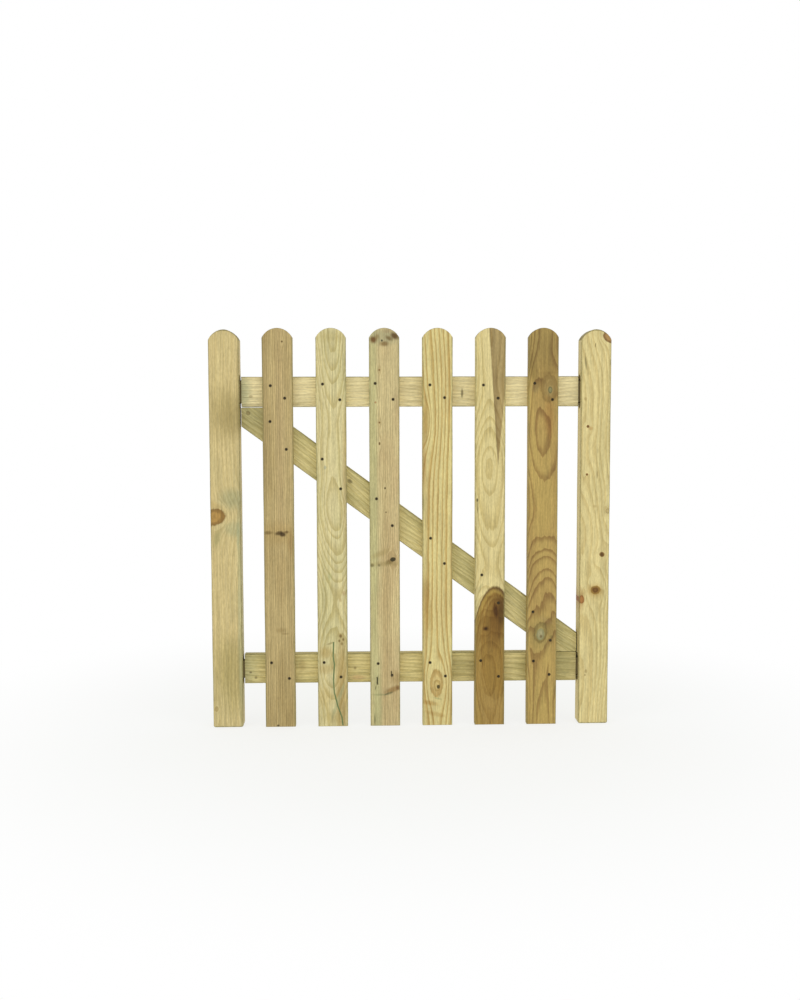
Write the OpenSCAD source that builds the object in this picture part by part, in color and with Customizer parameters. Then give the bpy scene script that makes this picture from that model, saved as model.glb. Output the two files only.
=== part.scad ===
// Framed garden gate leaf: two thick stiles, two rails tenoned into them, a corner-to-corner
// brace, and round-topped pales nailed to the front of the rails and the brace.
// Front is -Y, up is +Z. The origin is on the ground, midway across and front to back.

/* [Gate] */
// Overall width, across the outer edges of the two stiles
gate_w = 900; // [700:10:1300]
// Overall height, from the ground to the tops of the pales
gate_h = 900; // [700:10:1500]

/* [Stiles] */
// Width of each stile, seen from the front
stile_w = 68; // [60:1:90]
// Thickness of each stile, front to back
stile_t = 45; // [40:1:70]
// How much lower the stiles finish than the pales
stile_step = 3; // [0:0.5:20]
// Radius of the planed long edges of the stiles
stile_round = 4.5; // [1:0.5:7]
// Chamfer around the foot of each stile
foot_chamfer = 4; // [1:0.5:8]

/* [Rails] */
// Height of each rail, seen from the front
rail_w = 68; // [50:1:100]
// Thickness of each rail, front to back
rail_t = 25; // [20:1:30]
// Radius of the planed long edges of the rails and the brace
rail_round = 3.5; // [1:0.5:6]
// Height of the middle of the bottom rail above the ground
bottom_rail_up = 130; // [100:5:250]
// Depth of the middle of the top rail below the pale tops
top_rail_down = 141; // [110:1:250]

/* [Mortise and tenon] */
// Gap left between each rail's shoulders and the stile
shoulder_gap = 3; // [0.5:0.5:5]
// Thickness of each tenon, whose front is flush with the front of its rail
tenon_t = 13.5; // [10:0.5:16]
// Height of the top rail's tenons
top_tenon_h = 52; // [36:1:60]
// Height of the bottom rail's tenons
bottom_tenon_h = 42; // [32:1:60]
// Length of each tenon inside its stile
tenon_l = 36; // [20:1:50]
// Slack of each mortise in front of its rail's face
mortise_slack = 9.5; // [0:0.5:10]
// Clearance between a tenon's back cheek or ends and its mortise
tenon_fit = 0.3; // [0.1:0.1:0.8]
// Extra depth of each mortise beyond its tenon
mortise_end_room = 4; // [1:1:8]

/* [Brace] */
// Width of the diagonal brace, across its grain
brace_w = 68; // [45:1:90]
// Gap between the brace's upright cut ends and the stiles
brace_end_gap = 2; // [0.5:0.5:4]
// Clearance between the brace's upper end and the top rail
brace_top_fit = 0.5; // [0.1:0.1:0.9]

/* [Pales] */
// Number of pales between the stiles
pale_count = 6; // [4:1:8]
// Width of each pale
pale_w = 68; // [50:1:80]
// Thickness of each pale, front to back
pale_t = 20; // [14:1:22]
// Radius of the long edges of the pales
pale_round = 1.5; // [0.5:0.5:3]
// Radius of the arc across the tops of the pales and the stiles
arch_r = 38; // [36:1:80]

/* [Nails] */
// Diameter of a nail's shank
nail_d = 2.65; // [2:0.05:4]
// Diameter of a nail's head
nail_head_d = 5.6; // [4.5:0.1:8]
// Thickness of a nail's head
nail_head_t = 1.2; // [0.8:0.1:2]
// Length of the nails through the pales
nail_l = 40; // [30:1:42]
// Length of the nails that pin the tenons, driven from the back
tenon_nail_l = 22; // [18:1:24]
// Length of a nail's point
nail_point = 4; // [2:0.5:6]
// How far a nail's head is driven below the surface
nail_sink = 0.8; // [0.2:0.1:2]
// Clearance all round a nail in its hole
nail_fit = 0.05; // [0.02:0.01:0.1]
// Distance of the two nails at a crossing from the middle of the pale
nail_aside = 18; // [8:1:22]
// Distance of the nails on a rail above and below its middle
rail_nail_rise = 16; // [8:1:22]
// Distance of the nails on the brace above and below its middle
brace_nail_rise = 31; // [20:1:36]
// Most that a hammered nail strays from its mark
nail_stray = 2.5; // [0:0.5:4]
// Distance of the two tenon nails above and below the middle of the rail
tenon_nail_rise = 14; // [8:1:16]
// Distance of the tenon nails from the stile's inner face
tenon_nail_in = 18; // [10:1:18]

/* [Hidden] */
$fn = 96;
SLOP = 1;

stile_h = gate_h - stile_step;
stile_x = (gate_w - stile_w) / 2;
opening_w = gate_w - 2 * stile_w;
front_y = -stile_t / 2;
back_y = stile_t / 2;

rail_front_y = front_y + pale_t;
rail_mid_y = rail_front_y + rail_t / 2;
top_rail_z = gate_h - top_rail_down;
bottom_rail_z = bottom_rail_up;
opening_top = top_rail_z - rail_w / 2;
opening_bottom = bottom_rail_z + rail_w / 2;
opening_h = opening_top - opening_bottom;
shoulder_x = opening_w / 2 - shoulder_gap;

tenon_back_y = rail_front_y + tenon_t;
mortise_front_y = rail_front_y - mortise_slack;
mortise_back_y = tenon_back_y + tenon_fit;
mortise_w = mortise_back_y - mortise_front_y;
mortise_mid_y = (mortise_front_y + mortise_back_y) / 2;
mortise_depth = tenon_l + mortise_end_room;

brace_angle = atan2(opening_h, opening_w);
brace_mid_z = (opening_top + opening_bottom) / 2;
brace_l = sqrt(opening_w * opening_w + opening_h * opening_h) + 2 * brace_w;

pale_gap = (opening_w - pale_count * pale_w) / (pale_count + 1);
pale_pitch = pale_w + pale_gap;
pale_rim = 0.8;

wood_stile = [0.80, 0.72, 0.49];
wood_rail = [0.82, 0.77, 0.58];
wood_brace = [0.72, 0.68, 0.46];
wood_pale = [0.72, 0.62, 0.38];
zinc = [0.45, 0.44, 0.40];

// Middle of pale i, counted from 1 at the left
function pale_x(i) = -opening_w / 2 + i * pale_pitch - pale_w / 2;

// Height of the brace's middle line at x
function brace_z(x) = brace_mid_z - x * tan(brace_angle);

// Stray of nail k in pale i, from -nail_stray to nail_stray
function stray(i, k) = nail_stray * sin(97 * i + 211 * k);

// The six nails of pale i as [x, z], two on each rail and two on the brace
function pale_nails(i) = [
    for (k = [0 : 5])
        let (side = k % 2 == 0 ? 1 : -1)
        let (row = floor(k / 2))
        let (middle = row == 0 ? top_rail_z : row == 1 ? brace_z(pale_x(i)) : bottom_rail_z)
        let (rise = row == 1 ? brace_nail_rise : rail_nail_rise)
        [pale_x(i) - side * nail_aside + stray(i, k), middle + side * rise + stray(i, k + 6)]
];

// ---- shared shapes ----

// Rectangle with round corners, centred
module round_rect(w, h, r) {
    square([w - 2 * r, h], center = true);
    square([w, h - 2 * r], center = true);
    for (x = [-1, 1], y = [-1, 1])
        translate([x * (w / 2 - r), y * (h / 2 - r)])
            circle(r = r);
}

// Disc of radius arch_r lying across the board, with its rim rounded by r
module arch_disc(t, r) {
    rotate([90, 0, 0])
        rotate_extrude()
            intersection() {
                round_rect(2 * arch_r, t, r);
                translate([0, -t])
                    square([2 * arch_r, 2 * t]);
            }
}

// Upright board with round long edges and an arched top, standing on z = 0
module arched_board(w, t, h, r, rim) {
    intersection() {
        linear_extrude(h)
            round_rect(w, t, r);
        union() {
            translate([-w, -t, -SLOP])
                cube([2 * w, 2 * t, h - arch_r + SLOP]);
            translate([0, 0, h - arch_r])
                arch_disc(t, rim);
        }
    }
}

// Outline that narrows by a chamfer at its foot, d across and h high
module chamfered_foot(d, h) {
    c = foot_chamfer;
    polygon([
        [-d / 2 + c, 0],
        [d / 2 - c, 0],
        [d / 2, c],
        [d / 2, h],
        [-d / 2, h],
        [-d / 2, c]
    ]);
}

// Nail of length l, its head's face at z = 0 and its point along +Z
module nail(l) {
    cylinder(d = nail_head_d, h = nail_head_t);
    cylinder(d = nail_d, h = l - nail_point);
    translate([0, 0, l - nail_point])
        cylinder(d1 = nail_d, d2 = nail_d / 8, h = nail_point);
}

// Hole for that nail, with a pocket of length out above its head
module nail_hole(l, out) {
    translate([0, 0, -out])
        cylinder(d = nail_head_d + 2 * nail_fit, h = out + nail_head_t + nail_fit);
    cylinder(d = nail_d + 2 * nail_fit, h = l + nail_fit);
}

// Places a child nail in pale i's mark number k, driven from the front
module at_pale_nail(i, k) {
    p = pale_nails(i)[k];
    translate([p[0], front_y + nail_sink, p[1]])
        rotate([-90, 0, 0])
            children();
}

// Places a child nail through a tenon; side is -1 left or 1 right, rise is up or down
module at_tenon_nail(side, rail_z, rise) {
    x = side * (opening_w / 2 + tenon_nail_in);
    translate([x, back_y - nail_sink, rail_z + rise * tenon_nail_rise])
        rotate([90, 0, 0])
            children();
}

module all_pale_nail_holes() {
    for (i = [1 : pale_count], k = [0 : 5])
        at_pale_nail(i, k)
            nail_hole(nail_l, nail_sink + SLOP);
}

module tenon_nail_holes(side, rail_z) {
    for (rise = [-1, 1])
        at_tenon_nail(side, rail_z, rise)
            nail_hole(tenon_nail_l, nail_sink + SLOP);
}

// ---- stiles ----

// Round-ended slot in the stile's inner face, for one tenon of height h
module mortise(side, rail_z, h) {
    straight = h + 2 * tenon_fit;
    x = side < 0 ? -opening_w / 2 - mortise_depth : opening_w / 2 - SLOP;
    translate([x, mortise_mid_y, rail_z])
        rotate([0, 90, 0])
            linear_extrude(mortise_depth + SLOP) {
                square([straight, mortise_w], center = true);
                for (end = [-1, 1])
                    translate([end * straight / 2, 0])
                        circle(d = mortise_w);
            }
}

// side is -1 for the left stile and 1 for the right one
module stile(side) {
    color(wood_stile)
        difference() {
            translate([side * stile_x, 0, 0])
                intersection() {
                    arched_board(stile_w, stile_t, stile_h, stile_round, stile_round);
                    rotate([90, 0, 0])
                        linear_extrude(2 * stile_t, center = true)
                            chamfered_foot(stile_w, stile_h);
                    rotate([90, 0, 90])
                        linear_extrude(2 * stile_w, center = true)
                            chamfered_foot(stile_t, stile_h);
                }
            mortise(side, top_rail_z, top_tenon_h);
            mortise(side, bottom_rail_z, bottom_tenon_h);
            tenon_nail_holes(side, top_rail_z);
            tenon_nail_holes(side, bottom_rail_z);
        }
}

module left_stile() {
    stile(-1);
}

module right_stile() {
    stile(1);
}

// ---- rails ----

// Rail with a tenon of height h at each end, its middle at height rail_z
module rail(rail_z, h) {
    color(wood_rail)
        difference() {
            union() {
                translate([0, rail_mid_y, rail_z])
                    rotate([0, 90, 0])
                        linear_extrude(2 * shoulder_x, center = true)
                            round_rect(rail_w, rail_t, rail_round);
                translate([-opening_w / 2 - tenon_l, rail_front_y, rail_z - h / 2])
                    cube([opening_w + 2 * tenon_l, tenon_t, h]);
            }
            all_pale_nail_holes();
            for (side = [-1, 1])
                tenon_nail_holes(side, rail_z);
        }
}

module top_rail() {
    rail(top_rail_z, top_tenon_h);
}

module bottom_rail() {
    rail(bottom_rail_z, bottom_tenon_h);
}

// ---- brace ----

// Runs from corner to corner of the opening, cut square to the stiles and the rails
module diagonal_brace() {
    reach = opening_w / 2 - brace_end_gap;
    color(wood_brace)
        difference() {
            intersection() {
                translate([0, rail_mid_y, brace_mid_z])
                    rotate([0, brace_angle, 0])
                        rotate([0, 90, 0])
                            linear_extrude(brace_l, center = true)
                                round_rect(brace_w, rail_t, rail_round);
                translate([-reach, rail_front_y - SLOP, opening_bottom])
                    cube([2 * reach, rail_t + 2 * SLOP, opening_h - brace_top_fit]);
            }
            all_pale_nail_holes();
        }
}

// ---- pales ----

module pale(i) {
    color(wood_pale)
        difference() {
            translate([pale_x(i), front_y + pale_t / 2, 0])
                arched_board(pale_w, pale_t, gate_h, pale_round, pale_rim);
            for (k = [0 : 5])
                at_pale_nail(i, k)
                    nail_hole(nail_l, nail_sink + SLOP);
        }
}

// ---- nails ----

module pale_nail_group(i) {
    color(zinc)
        for (k = [0 : 5])
            at_pale_nail(i, k)
                nail(nail_l);
}

module tenon_nail_pair(side, rail_z) {
    color(zinc)
        for (rise = [-1, 1])
            at_tenon_nail(side, rail_z, rise)
                nail(tenon_nail_l);
}

// ---- nodes ----

left_stile();
right_stile();
top_rail();
bottom_rail();
diagonal_brace();
for (i = [1 : pale_count]) {
    pale(i);
    pale_nail_group(i);
}
tenon_nail_pair(-1, top_rail_z);  // top_left_tenon_nails
tenon_nail_pair(1, top_rail_z);  // top_right_tenon_nails
tenon_nail_pair(-1, bottom_rail_z);  // bottom_left_tenon_nails
tenon_nail_pair(1, bottom_rail_z);  // bottom_right_tenon_nails
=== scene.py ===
"""Looks of a timber garden gate leaf: planed, pressure-treated softwood boards and their nails.

Every board is one closed surface worked out with numpy: a round-cornered section carried along
the board through a row of stations. The growth rings run through the solid wood, so the faces,
edges and sawn ends of a board agree. Board coordinates are across, deep and along, in
millimetres from the middle of the board's near end; "near" is the foot of an upright, the left
end of a rail and the upper end of the brace.
"""

import logging
import math
from dataclasses import dataclass, field, replace
from enum import Enum

import bpy
import numpy as np
from mathutils import Matrix, Vector


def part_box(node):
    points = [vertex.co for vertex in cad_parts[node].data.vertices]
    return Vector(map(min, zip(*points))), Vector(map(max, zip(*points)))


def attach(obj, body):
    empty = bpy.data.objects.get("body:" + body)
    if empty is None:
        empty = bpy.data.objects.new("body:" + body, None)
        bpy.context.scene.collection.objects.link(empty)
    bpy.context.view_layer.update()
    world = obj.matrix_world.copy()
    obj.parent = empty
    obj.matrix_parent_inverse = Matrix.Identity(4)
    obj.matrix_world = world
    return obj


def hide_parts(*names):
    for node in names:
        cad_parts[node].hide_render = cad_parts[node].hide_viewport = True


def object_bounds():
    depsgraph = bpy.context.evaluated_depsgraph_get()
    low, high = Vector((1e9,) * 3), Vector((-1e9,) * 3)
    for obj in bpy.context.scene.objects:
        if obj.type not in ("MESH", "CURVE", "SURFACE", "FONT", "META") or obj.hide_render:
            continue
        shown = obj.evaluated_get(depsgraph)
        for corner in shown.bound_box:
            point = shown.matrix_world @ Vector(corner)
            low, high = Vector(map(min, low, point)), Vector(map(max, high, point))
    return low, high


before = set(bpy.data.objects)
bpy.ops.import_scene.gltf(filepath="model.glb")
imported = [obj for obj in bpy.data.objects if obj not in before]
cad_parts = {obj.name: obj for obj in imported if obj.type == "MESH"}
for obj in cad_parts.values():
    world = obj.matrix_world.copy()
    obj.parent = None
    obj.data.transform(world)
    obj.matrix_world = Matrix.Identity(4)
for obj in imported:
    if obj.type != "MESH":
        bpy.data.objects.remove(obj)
CAD_BOX = [list(corner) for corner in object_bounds()]

log = logging.getLogger("gate")
logging.basicConfig(level=logging.INFO, format="%(name)s: %(message)s")

MM = 0.001
WOOD_IOR = 1.5
Socket = bpy.types.NodeSocket
DEEP = 1.0e6  # mm, a radius that makes a mark run right through a board


class Axis(Enum):
    """Way that a board runs, as its turn about the gate's front-to-back axis, in degrees."""

    UPRIGHT = 0.0
    LEVEL = 90.0


class End(Enum):
    """Which end of a board a station belongs to."""

    NEAR = -1
    FAR = 1


# ---- colour and nodes ----


def linear(code: str) -> tuple[float, float, float, float]:
    """Turns an sRGB hex colour to linear light.

    Args:
        code: six hex digits, red first.

    Returns:
        Linear red, green, blue and an alpha of 1.
    """
    parts = [int(code[i : i + 2], 16) / 255 for i in (0, 2, 4)]
    light = [c / 12.92 if c <= 0.04045 else ((c + 0.055) / 1.055) ** 2.4 for c in parts]
    return (*light, 1.0)


class Graph:
    """The node tree of one material."""

    def __init__(self, name: str) -> None:
        """Starts an empty material.

        Args:
            name: the finish's own name.
        """
        self.material = bpy.data.materials.new(name)
        self.material.use_nodes = True
        self.tree = self.material.node_tree
        self.tree.nodes.clear()

    def add(self, kind: str, inputs: dict, out: int = 0, **settings) -> Socket:
        """Adds a node with its settings and links.

        Args:
            kind: Blender's name of the node type, without its "ShaderNode".
            inputs: socket index or name to a value, or to a socket to link from.
            out: index of the output to return.
            settings: the node's own properties.

        Returns:
            The node's output socket.
        """
        node = self.tree.nodes.new(f"ShaderNode{kind}")
        for key, value in settings.items():
            setattr(node, key, value)
        for key, value in inputs.items():
            if isinstance(value, Socket):
                self.tree.links.new(value, node.inputs[key])
            else:
                node.inputs[key].default_value = value
        return node.outputs[out] if node.outputs else None


# ---- what a board's surface shows ----


@dataclass(frozen=True)
class Mark:
    """A soft-edged oval of another colour: a stained patch, a sapwood patch, mould or a pin knot.

    Places and radii are in mm across and along the board, and turn is in degrees.
    """

    across: float
    along: float
    wide: float
    long: float
    colour: str
    strength: float = 0.8
    soft: float = 0.45
    turn: float = 0.0
    ragged: float = 0.5


@dataclass(frozen=True)
class Knot:
    """A branch cut through by the face. The grain flows round it.

    flow is how many times its own radius it holds the grain off, and stretch how much longer
    that eye is along the board. A knot of strength 0 only bends the grain.
    """

    across: float
    along: float
    wide: float
    long: float
    core: str = "7a5a2c"
    rim: str = "4a3418"
    strength: float = 0.95
    flow: float = 1.6
    stretch: float = 2.2
    turn: float = 0.0


@dataclass(frozen=True)
class Wedge:
    """Heartwood that runs in from the far end to a point, between two straight edges.

    The slopes are mm across for each mm along, of its left and right edges above its point.
    """

    across: float
    along: float
    left: float
    right: float
    colour: str
    edge: str


@dataclass(frozen=True)
class Split:
    """A crack in the front face along straight runs between points, in mm across and along."""

    points: tuple[tuple[float, float], ...]
    wide: float
    depth: float
    colour: str


@dataclass(frozen=True)
class Rings:
    """Growth rings, as cylinders round a pith that lies beside the board.

    The pith is across mm aside and depth mm behind the middle of the board's thickness at the
    near end, and it goes rise mm deeper for each mm along. sway is how far the pith wanders.
    """

    spacing: float
    across: float
    depth: float
    rise: float = 0.0
    sway: float = 8.0
    sway_length: float = 320.0
    roll: float = 0.0
    roll_length: float = 300.0
    wobble: float = 0.5
    wave: float = 3.0
    contrast: float = 0.8
    crisp: float = 0.5
    seed: float = 0.0


@dataclass(frozen=True)
class Wood:
    """Planed, pressure-treated softwood: straw to tan, faintly green, matt, with open fibres.

    early and late are the light and dark halves of a ring. tint is the treatment's green or a
    brown, laid over in broad clouds of tint_share.
    """

    name: str
    early: str
    late: str
    rings: Rings
    tint: str = "a8a878"
    tint_share: float = 0.25
    streak: float = 0.13
    fibre: float = 0.15
    speck: float = 0.10
    marks: tuple[Mark, ...] = ()
    knots: tuple[Knot, ...] = ()
    wedges: tuple[Wedge, ...] = ()
    # The split colour darkens the insides of splits; on the rails it also darkens the tenons as painted
    # shade inside the stiles' mortises.
    split_and_tenon_shade_colour: str = "3c3a22"
    # The edge colour is painted shade along the arrises and the rounded ends of the board.
    edge: str = "857f50"
    # The bruise colour is laid round nails: bruised fibres, and painted shade in the nail pits.
    bruise_and_pit_shade: str = "2e2818"
    end_grain: str = "8a744a"

    def material(self, centre: np.ndarray, turn: float) -> bpy.types.Material:
        """Makes the material for one board.

        Args:
            centre: the middle of the board's near end, in metres.
            turn: the board's turn about the front-to-back axis, in radians.

        Returns:
            The finished material.
        """
        g = Graph(self.name)
        place = g.add("TexCoord", {}, out=3)
        board = g.add(
            "Mapping",
            {0: place, 1: tuple(centre), 2: (0.0, turn, 0.0), 3: (MM, MM, MM)},
            vector_type="TEXTURE",
        )
        cloud = self._unevenness(g, board, (45.0, 45.0, 160.0), 3.0)
        grit = self._unevenness(g, board, (5.0, 5.0, 11.0), 3.0)
        fibre = self._unevenness(g, board, (1.5, 1.5, 34.0), 3.0)
        streak = self._unevenness(g, board, (4.0, 6.0, 230.0), 4.0)
        speck = self._unevenness(g, board, (2.6, 2.6, 8.0), 3.0)
        late = self._late_wood(g, board, cloud)
        colour = self._clouded(g, cloud)
        for wedge in self.wedges:
            colour = self._heartwood(g, board, colour, wedge, grit)
        for mark in self.marks:
            colour = self._marked(g, board, colour, mark, grit)
        colour = self._ringed(g, colour, late)
        for knot in self.knots:
            if knot.strength > 0:
                colour = self._knotted(g, board, colour, knot, grit)
        colour = self._streaked(g, colour, streak, self.streak)
        colour = self._streaked(g, colour, fibre, self.fibre)
        colour = self._streaked(g, colour, speck, self.speck)
        colour = self._worked_and_shaded(g, colour, grit)
        self._shade(g, colour, late, fibre, streak)
        return g.material

    def _unevenness(
        self, g: Graph, board: Socket, size: tuple[float, float, float], detail: float
    ) -> Socket:
        """Unevenness of grown wood, in patches size mm across, deep and along.

        Args:
            g: the material's nodes.
            board: board coordinates, in mm.
            size: its patches across, deep and along, in mm.
            detail: how many finer layers it has.

        Returns:
            Its value, 0 to 1.
        """
        scaled = g.add(
            "Mapping",
            {0: board, 1: (self.rings.seed, 0.0, 0.0), 3: tuple(1.0 / s for s in size)},
            vector_type="POINT",
        )
        return g.add("TexNoise", {"Vector": scaled, "Scale": 1.0, "Detail": detail})

    def _oval(
        self,
        g: Graph,
        board: Socket,
        at: tuple[float, float],
        size: tuple[float, float],
        turn: float,
    ) -> Socket:
        """Board coordinates as seen from an oval, where its rim is at a distance of 1.

        Args:
            g: the material's nodes.
            board: board coordinates, in mm.
            at: its middle, across and along, in mm.
            size: its radii, across and along, in mm.
            turn: its turn, in degrees.

        Returns:
            The coordinates, in radii.
        """
        return g.add(
            "Mapping",
            {
                0: board,
                1: (at[0], 0.0, at[1]),
                2: (0.0, math.radians(turn), 0.0),
                3: (size[0], DEEP, size[1]),
            },
            vector_type="TEXTURE",
        )

    def _late_wood(self, g: Graph, board: Socket, cloud: Socket) -> Socket:
        """Share of late wood in each place.

        The distance to the pith over the ring spacing counts the rings, and what is left of
        that count after its whole part is the place in the ring.

        Args:
            g: the material's nodes.
            board: board coordinates, in mm.
            cloud: a broad unevenness, which makes late wood patchy.

        Returns:
            The share, 0 to 1.
        """
        rings = self.rings
        reach = self._pith_distance(g, board)
        count = g.add("Math", {0: reach, 1: rings.spacing}, operation="DIVIDE")
        year = g.add("TexNoise", {"W": count, "Scale": 0.45, "Detail": 1.0}, noise_dimensions="1D")
        count = g.add("Math", {0: year, 1: 1.4, 2: count}, operation="MULTIPLY_ADD")
        rough = self._unevenness(g, board, (9.0, 9.0, 70.0), 2.0)
        count = g.add("Math", {0: rough, 1: rings.wobble, 2: count}, operation="MULTIPLY_ADD")
        place = g.add("Math", {0: count}, operation="FRACT")
        late = g.add(
            "MapRange",
            {"Value": place, "From Min": 0.85 - 0.75 * (1 - rings.crisp), "From Max": 0.90},
            interpolation_type="SMOOTHSTEP",
        )
        fade = g.add(
            "MapRange",
            {"Value": place, "From Min": 1.0, "From Max": 0.93},
            interpolation_type="SMOOTHSTEP",
        )
        late = g.add("Math", {0: late, 1: fade}, operation="MULTIPLY")
        patchy = g.add("MapRange", {"Value": cloud, "To Min": 0.7, "To Max": 1.25})
        late = g.add("Math", {0: late, 1: patchy}, operation="MULTIPLY")
        return g.add("Math", {0: late, 1: rings.contrast}, operation="MULTIPLY", use_clamp=True)

    def _pith_distance(self, g: Graph, board: Socket) -> Socket:
        """Distance to the pith, which wanders and comes nearer and farther along the board.

        Args:
            g: the material's nodes.
            board: board coordinates, in mm.

        Returns:
            The distance, in mm.
        """
        rings = self.rings
        wander = g.add(
            "Mapping",
            {0: board, 1: (0.0, rings.seed, 0.0), 3: (1 / 90.0, 1 / 90.0, 1 / rings.sway_length)},
            vector_type="POINT",
        )
        bend = g.add("TexNoise", {"Vector": wander, "Scale": 1.0, "Detail": 1.0}, out=1)
        bend = g.add("VectorMath", {0: bend, 1: (0.5, 0.5, 0.5)}, operation="SUBTRACT")
        bend = g.add("VectorMath", {0: bend, 3: 2 * rings.sway}, operation="SCALE")
        bent = g.add("VectorMath", {0: board, 1: bend}, operation="ADD")
        across = g.add("SeparateXYZ", {0: bent}, out=0)
        deep = g.add("SeparateXYZ", {0: bent}, out=1)
        along = g.add("SeparateXYZ", {0: board}, out=2)
        wave = self._unevenness(g, board, (14.0, 14.0, 38.0), 3.0)
        across = g.add("Math", {0: wave, 1: rings.wave, 2: across}, operation="MULTIPLY_ADD")
        across = self._past_knots(g, board, across)
        roll = g.add("Math", {0: along, 1: 1 / rings.roll_length}, operation="MULTIPLY")
        roll = g.add("Math", {0: roll, 1: rings.seed}, operation="ADD")
        roll = g.add("TexNoise", {"W": roll, "Scale": 1.0, "Detail": 0.0}, noise_dimensions="1D")
        pith = g.add("Math", {0: along, 1: rings.rise, 2: rings.depth}, operation="MULTIPLY_ADD")
        pith = g.add("Math", {0: roll, 1: rings.roll, 2: pith}, operation="MULTIPLY_ADD")
        deep = g.add("Math", {0: deep, 1: pith}, operation="SUBTRACT")
        across = g.add("Math", {0: across, 1: rings.across}, operation="SUBTRACT")
        reach = g.add("CombineXYZ", {0: across, 1: deep})
        return g.add("VectorMath", {0: reach}, out=1, operation="LENGTH")

    def _past_knots(self, g: Graph, board: Socket, across: Socket) -> Socket:
        """The way across, pulled in towards each knot, so that the grain flows round it.

        Each knot pulls it by X / max(1, d^2), with X the distance from it across and d its
        distance in eye radii. Those are the stream lines of a flow round a post.

        Args:
            g: the material's nodes.
            board: board coordinates, in mm.
            across: the way across, in mm.

        Returns:
            The way across, bent, in mm.
        """
        for knot in self.knots:
            eye = (knot.wide * knot.flow, knot.long * knot.flow * knot.stretch)
            seen = self._oval(g, board, (knot.across, knot.along), eye, knot.turn)
            far = g.add("VectorMath", {0: seen, 1: seen}, out=1, operation="DOT_PRODUCT")
            far = g.add("Math", {0: far, 1: 1.0}, operation="MAXIMUM")
            aside = g.add("Math", {0: across, 1: knot.across}, operation="SUBTRACT")
            pull = g.add("Math", {0: aside, 1: far}, operation="DIVIDE")
            across = g.add("Math", {0: across, 1: pull}, operation="SUBTRACT")
        return across

    def _ringed(self, g: Graph, colour: Socket, late: Socket) -> Socket:
        """Darkens the late wood by the ratio of late to early.

        Args:
            g: the material's nodes.
            colour: the colour so far.
            late: the share of late wood.

        Returns:
            The colour.
        """
        pairs = zip(linear(self.late), linear(self.early))
        ratio = tuple(dark / light for dark, light in pairs)
        shade = g.add("Mix", {0: late, 6: (1.0, 1.0, 1.0, 1.0), 7: ratio}, out=2, data_type="RGBA")
        return g.add("VectorMath", {0: colour, 1: shade}, operation="MULTIPLY")

    def _clouded(self, g: Graph, cloud: Socket) -> Socket:
        """Lays the treatment's tint over the early wood in broad clouds.

        Args:
            g: the material's nodes.
            cloud: a broad unevenness.

        Returns:
            The colour.
        """
        share = g.add(
            "MapRange",
            {"Value": cloud, "From Min": 0.38, "From Max": 0.68, "To Max": 2 * self.tint_share},
            interpolation_type="SMOOTHSTEP",
        )
        return g.add(
            "Mix",
            {0: share, 6: linear(self.early), 7: linear(self.tint)},
            out=2,
            data_type="RGBA",
        )

    def _heartwood(
        self,
        g: Graph,
        board: Socket,
        colour: Socket,
        wedge: Wedge,
        grit: Socket,
    ) -> Socket:
        """Colours what is between a wedge's edges, darkest along its left edge.

        Args:
            g: the material's nodes.
            board: board coordinates, in mm.
            colour: the colour so far.
            wedge: the wedge.
            grit: a fine unevenness, which makes rims ragged.

        Returns:
            The colour.
        """
        across = g.add("SeparateXYZ", {0: board}, out=0)
        along = g.add("SeparateXYZ", {0: board}, out=2)
        above = g.add("Math", {0: along, 1: wedge.along}, operation="SUBTRACT")
        aside = g.add("Math", {0: across, 1: wedge.across}, operation="SUBTRACT")
        aside = g.add("Math", {0: grit, 1: 2.0, 2: aside}, operation="MULTIPLY_ADD")
        inside = None
        left = None
        for slope, sign in ((wedge.left, 1.0), (wedge.right, -1.0)):
            line = g.add("Math", {0: above, 1: -slope, 2: aside}, operation="MULTIPLY_ADD")
            line = g.add("Math", {0: line, 1: sign}, operation="MULTIPLY")
            past = g.add(
                "MapRange",
                {"Value": line, "From Min": 0.0, "From Max": 2.5},
                interpolation_type="SMOOTHSTEP",
            )
            if inside is None:
                left, inside = line, past
            else:
                inside = g.add("Math", {0: inside, 1: past}, operation="MULTIPLY")
        deepest = g.add("MapRange", {"Value": left, "From Min": 16.0, "From Max": 0.0})
        heart = g.add(
            "Mix",
            {0: deepest, 6: linear(wedge.colour), 7: linear(wedge.edge)},
            out=2,
            data_type="RGBA",
        )
        share = g.add("Math", {0: inside, 1: 0.86}, operation="MULTIPLY")
        return g.add("Mix", {0: share, 6: colour, 7: heart}, out=2, data_type="RGBA")

    def _marked(self, g: Graph, board: Socket, colour: Socket, mark: Mark, grit: Socket) -> Socket:
        """Lays one mark over the wood.

        Args:
            g: the material's nodes.
            board: board coordinates, in mm.
            colour: the colour so far.
            mark: the mark.
            grit: a fine unevenness, which makes rims ragged.

        Returns:
            The colour.
        """
        seen = self._oval(g, board, (mark.across, mark.along), (mark.wide, mark.long), mark.turn)
        far = g.add("VectorMath", {0: seen}, out=1, operation="LENGTH")
        far = g.add("Math", {0: grit, 1: mark.ragged, 2: far}, operation="MULTIPLY_ADD")
        far = g.add("Math", {0: far, 1: mark.ragged / 2}, operation="SUBTRACT")
        share = g.add(
            "MapRange",
            {
                "Value": far,
                "From Min": 1 + mark.soft,
                "From Max": 1 - mark.soft,
                "To Max": mark.strength,
            },
            interpolation_type="SMOOTHSTEP",
        )
        return g.add("Mix", {0: share, 6: colour, 7: linear(mark.colour)}, out=2, data_type="RGBA")

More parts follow.
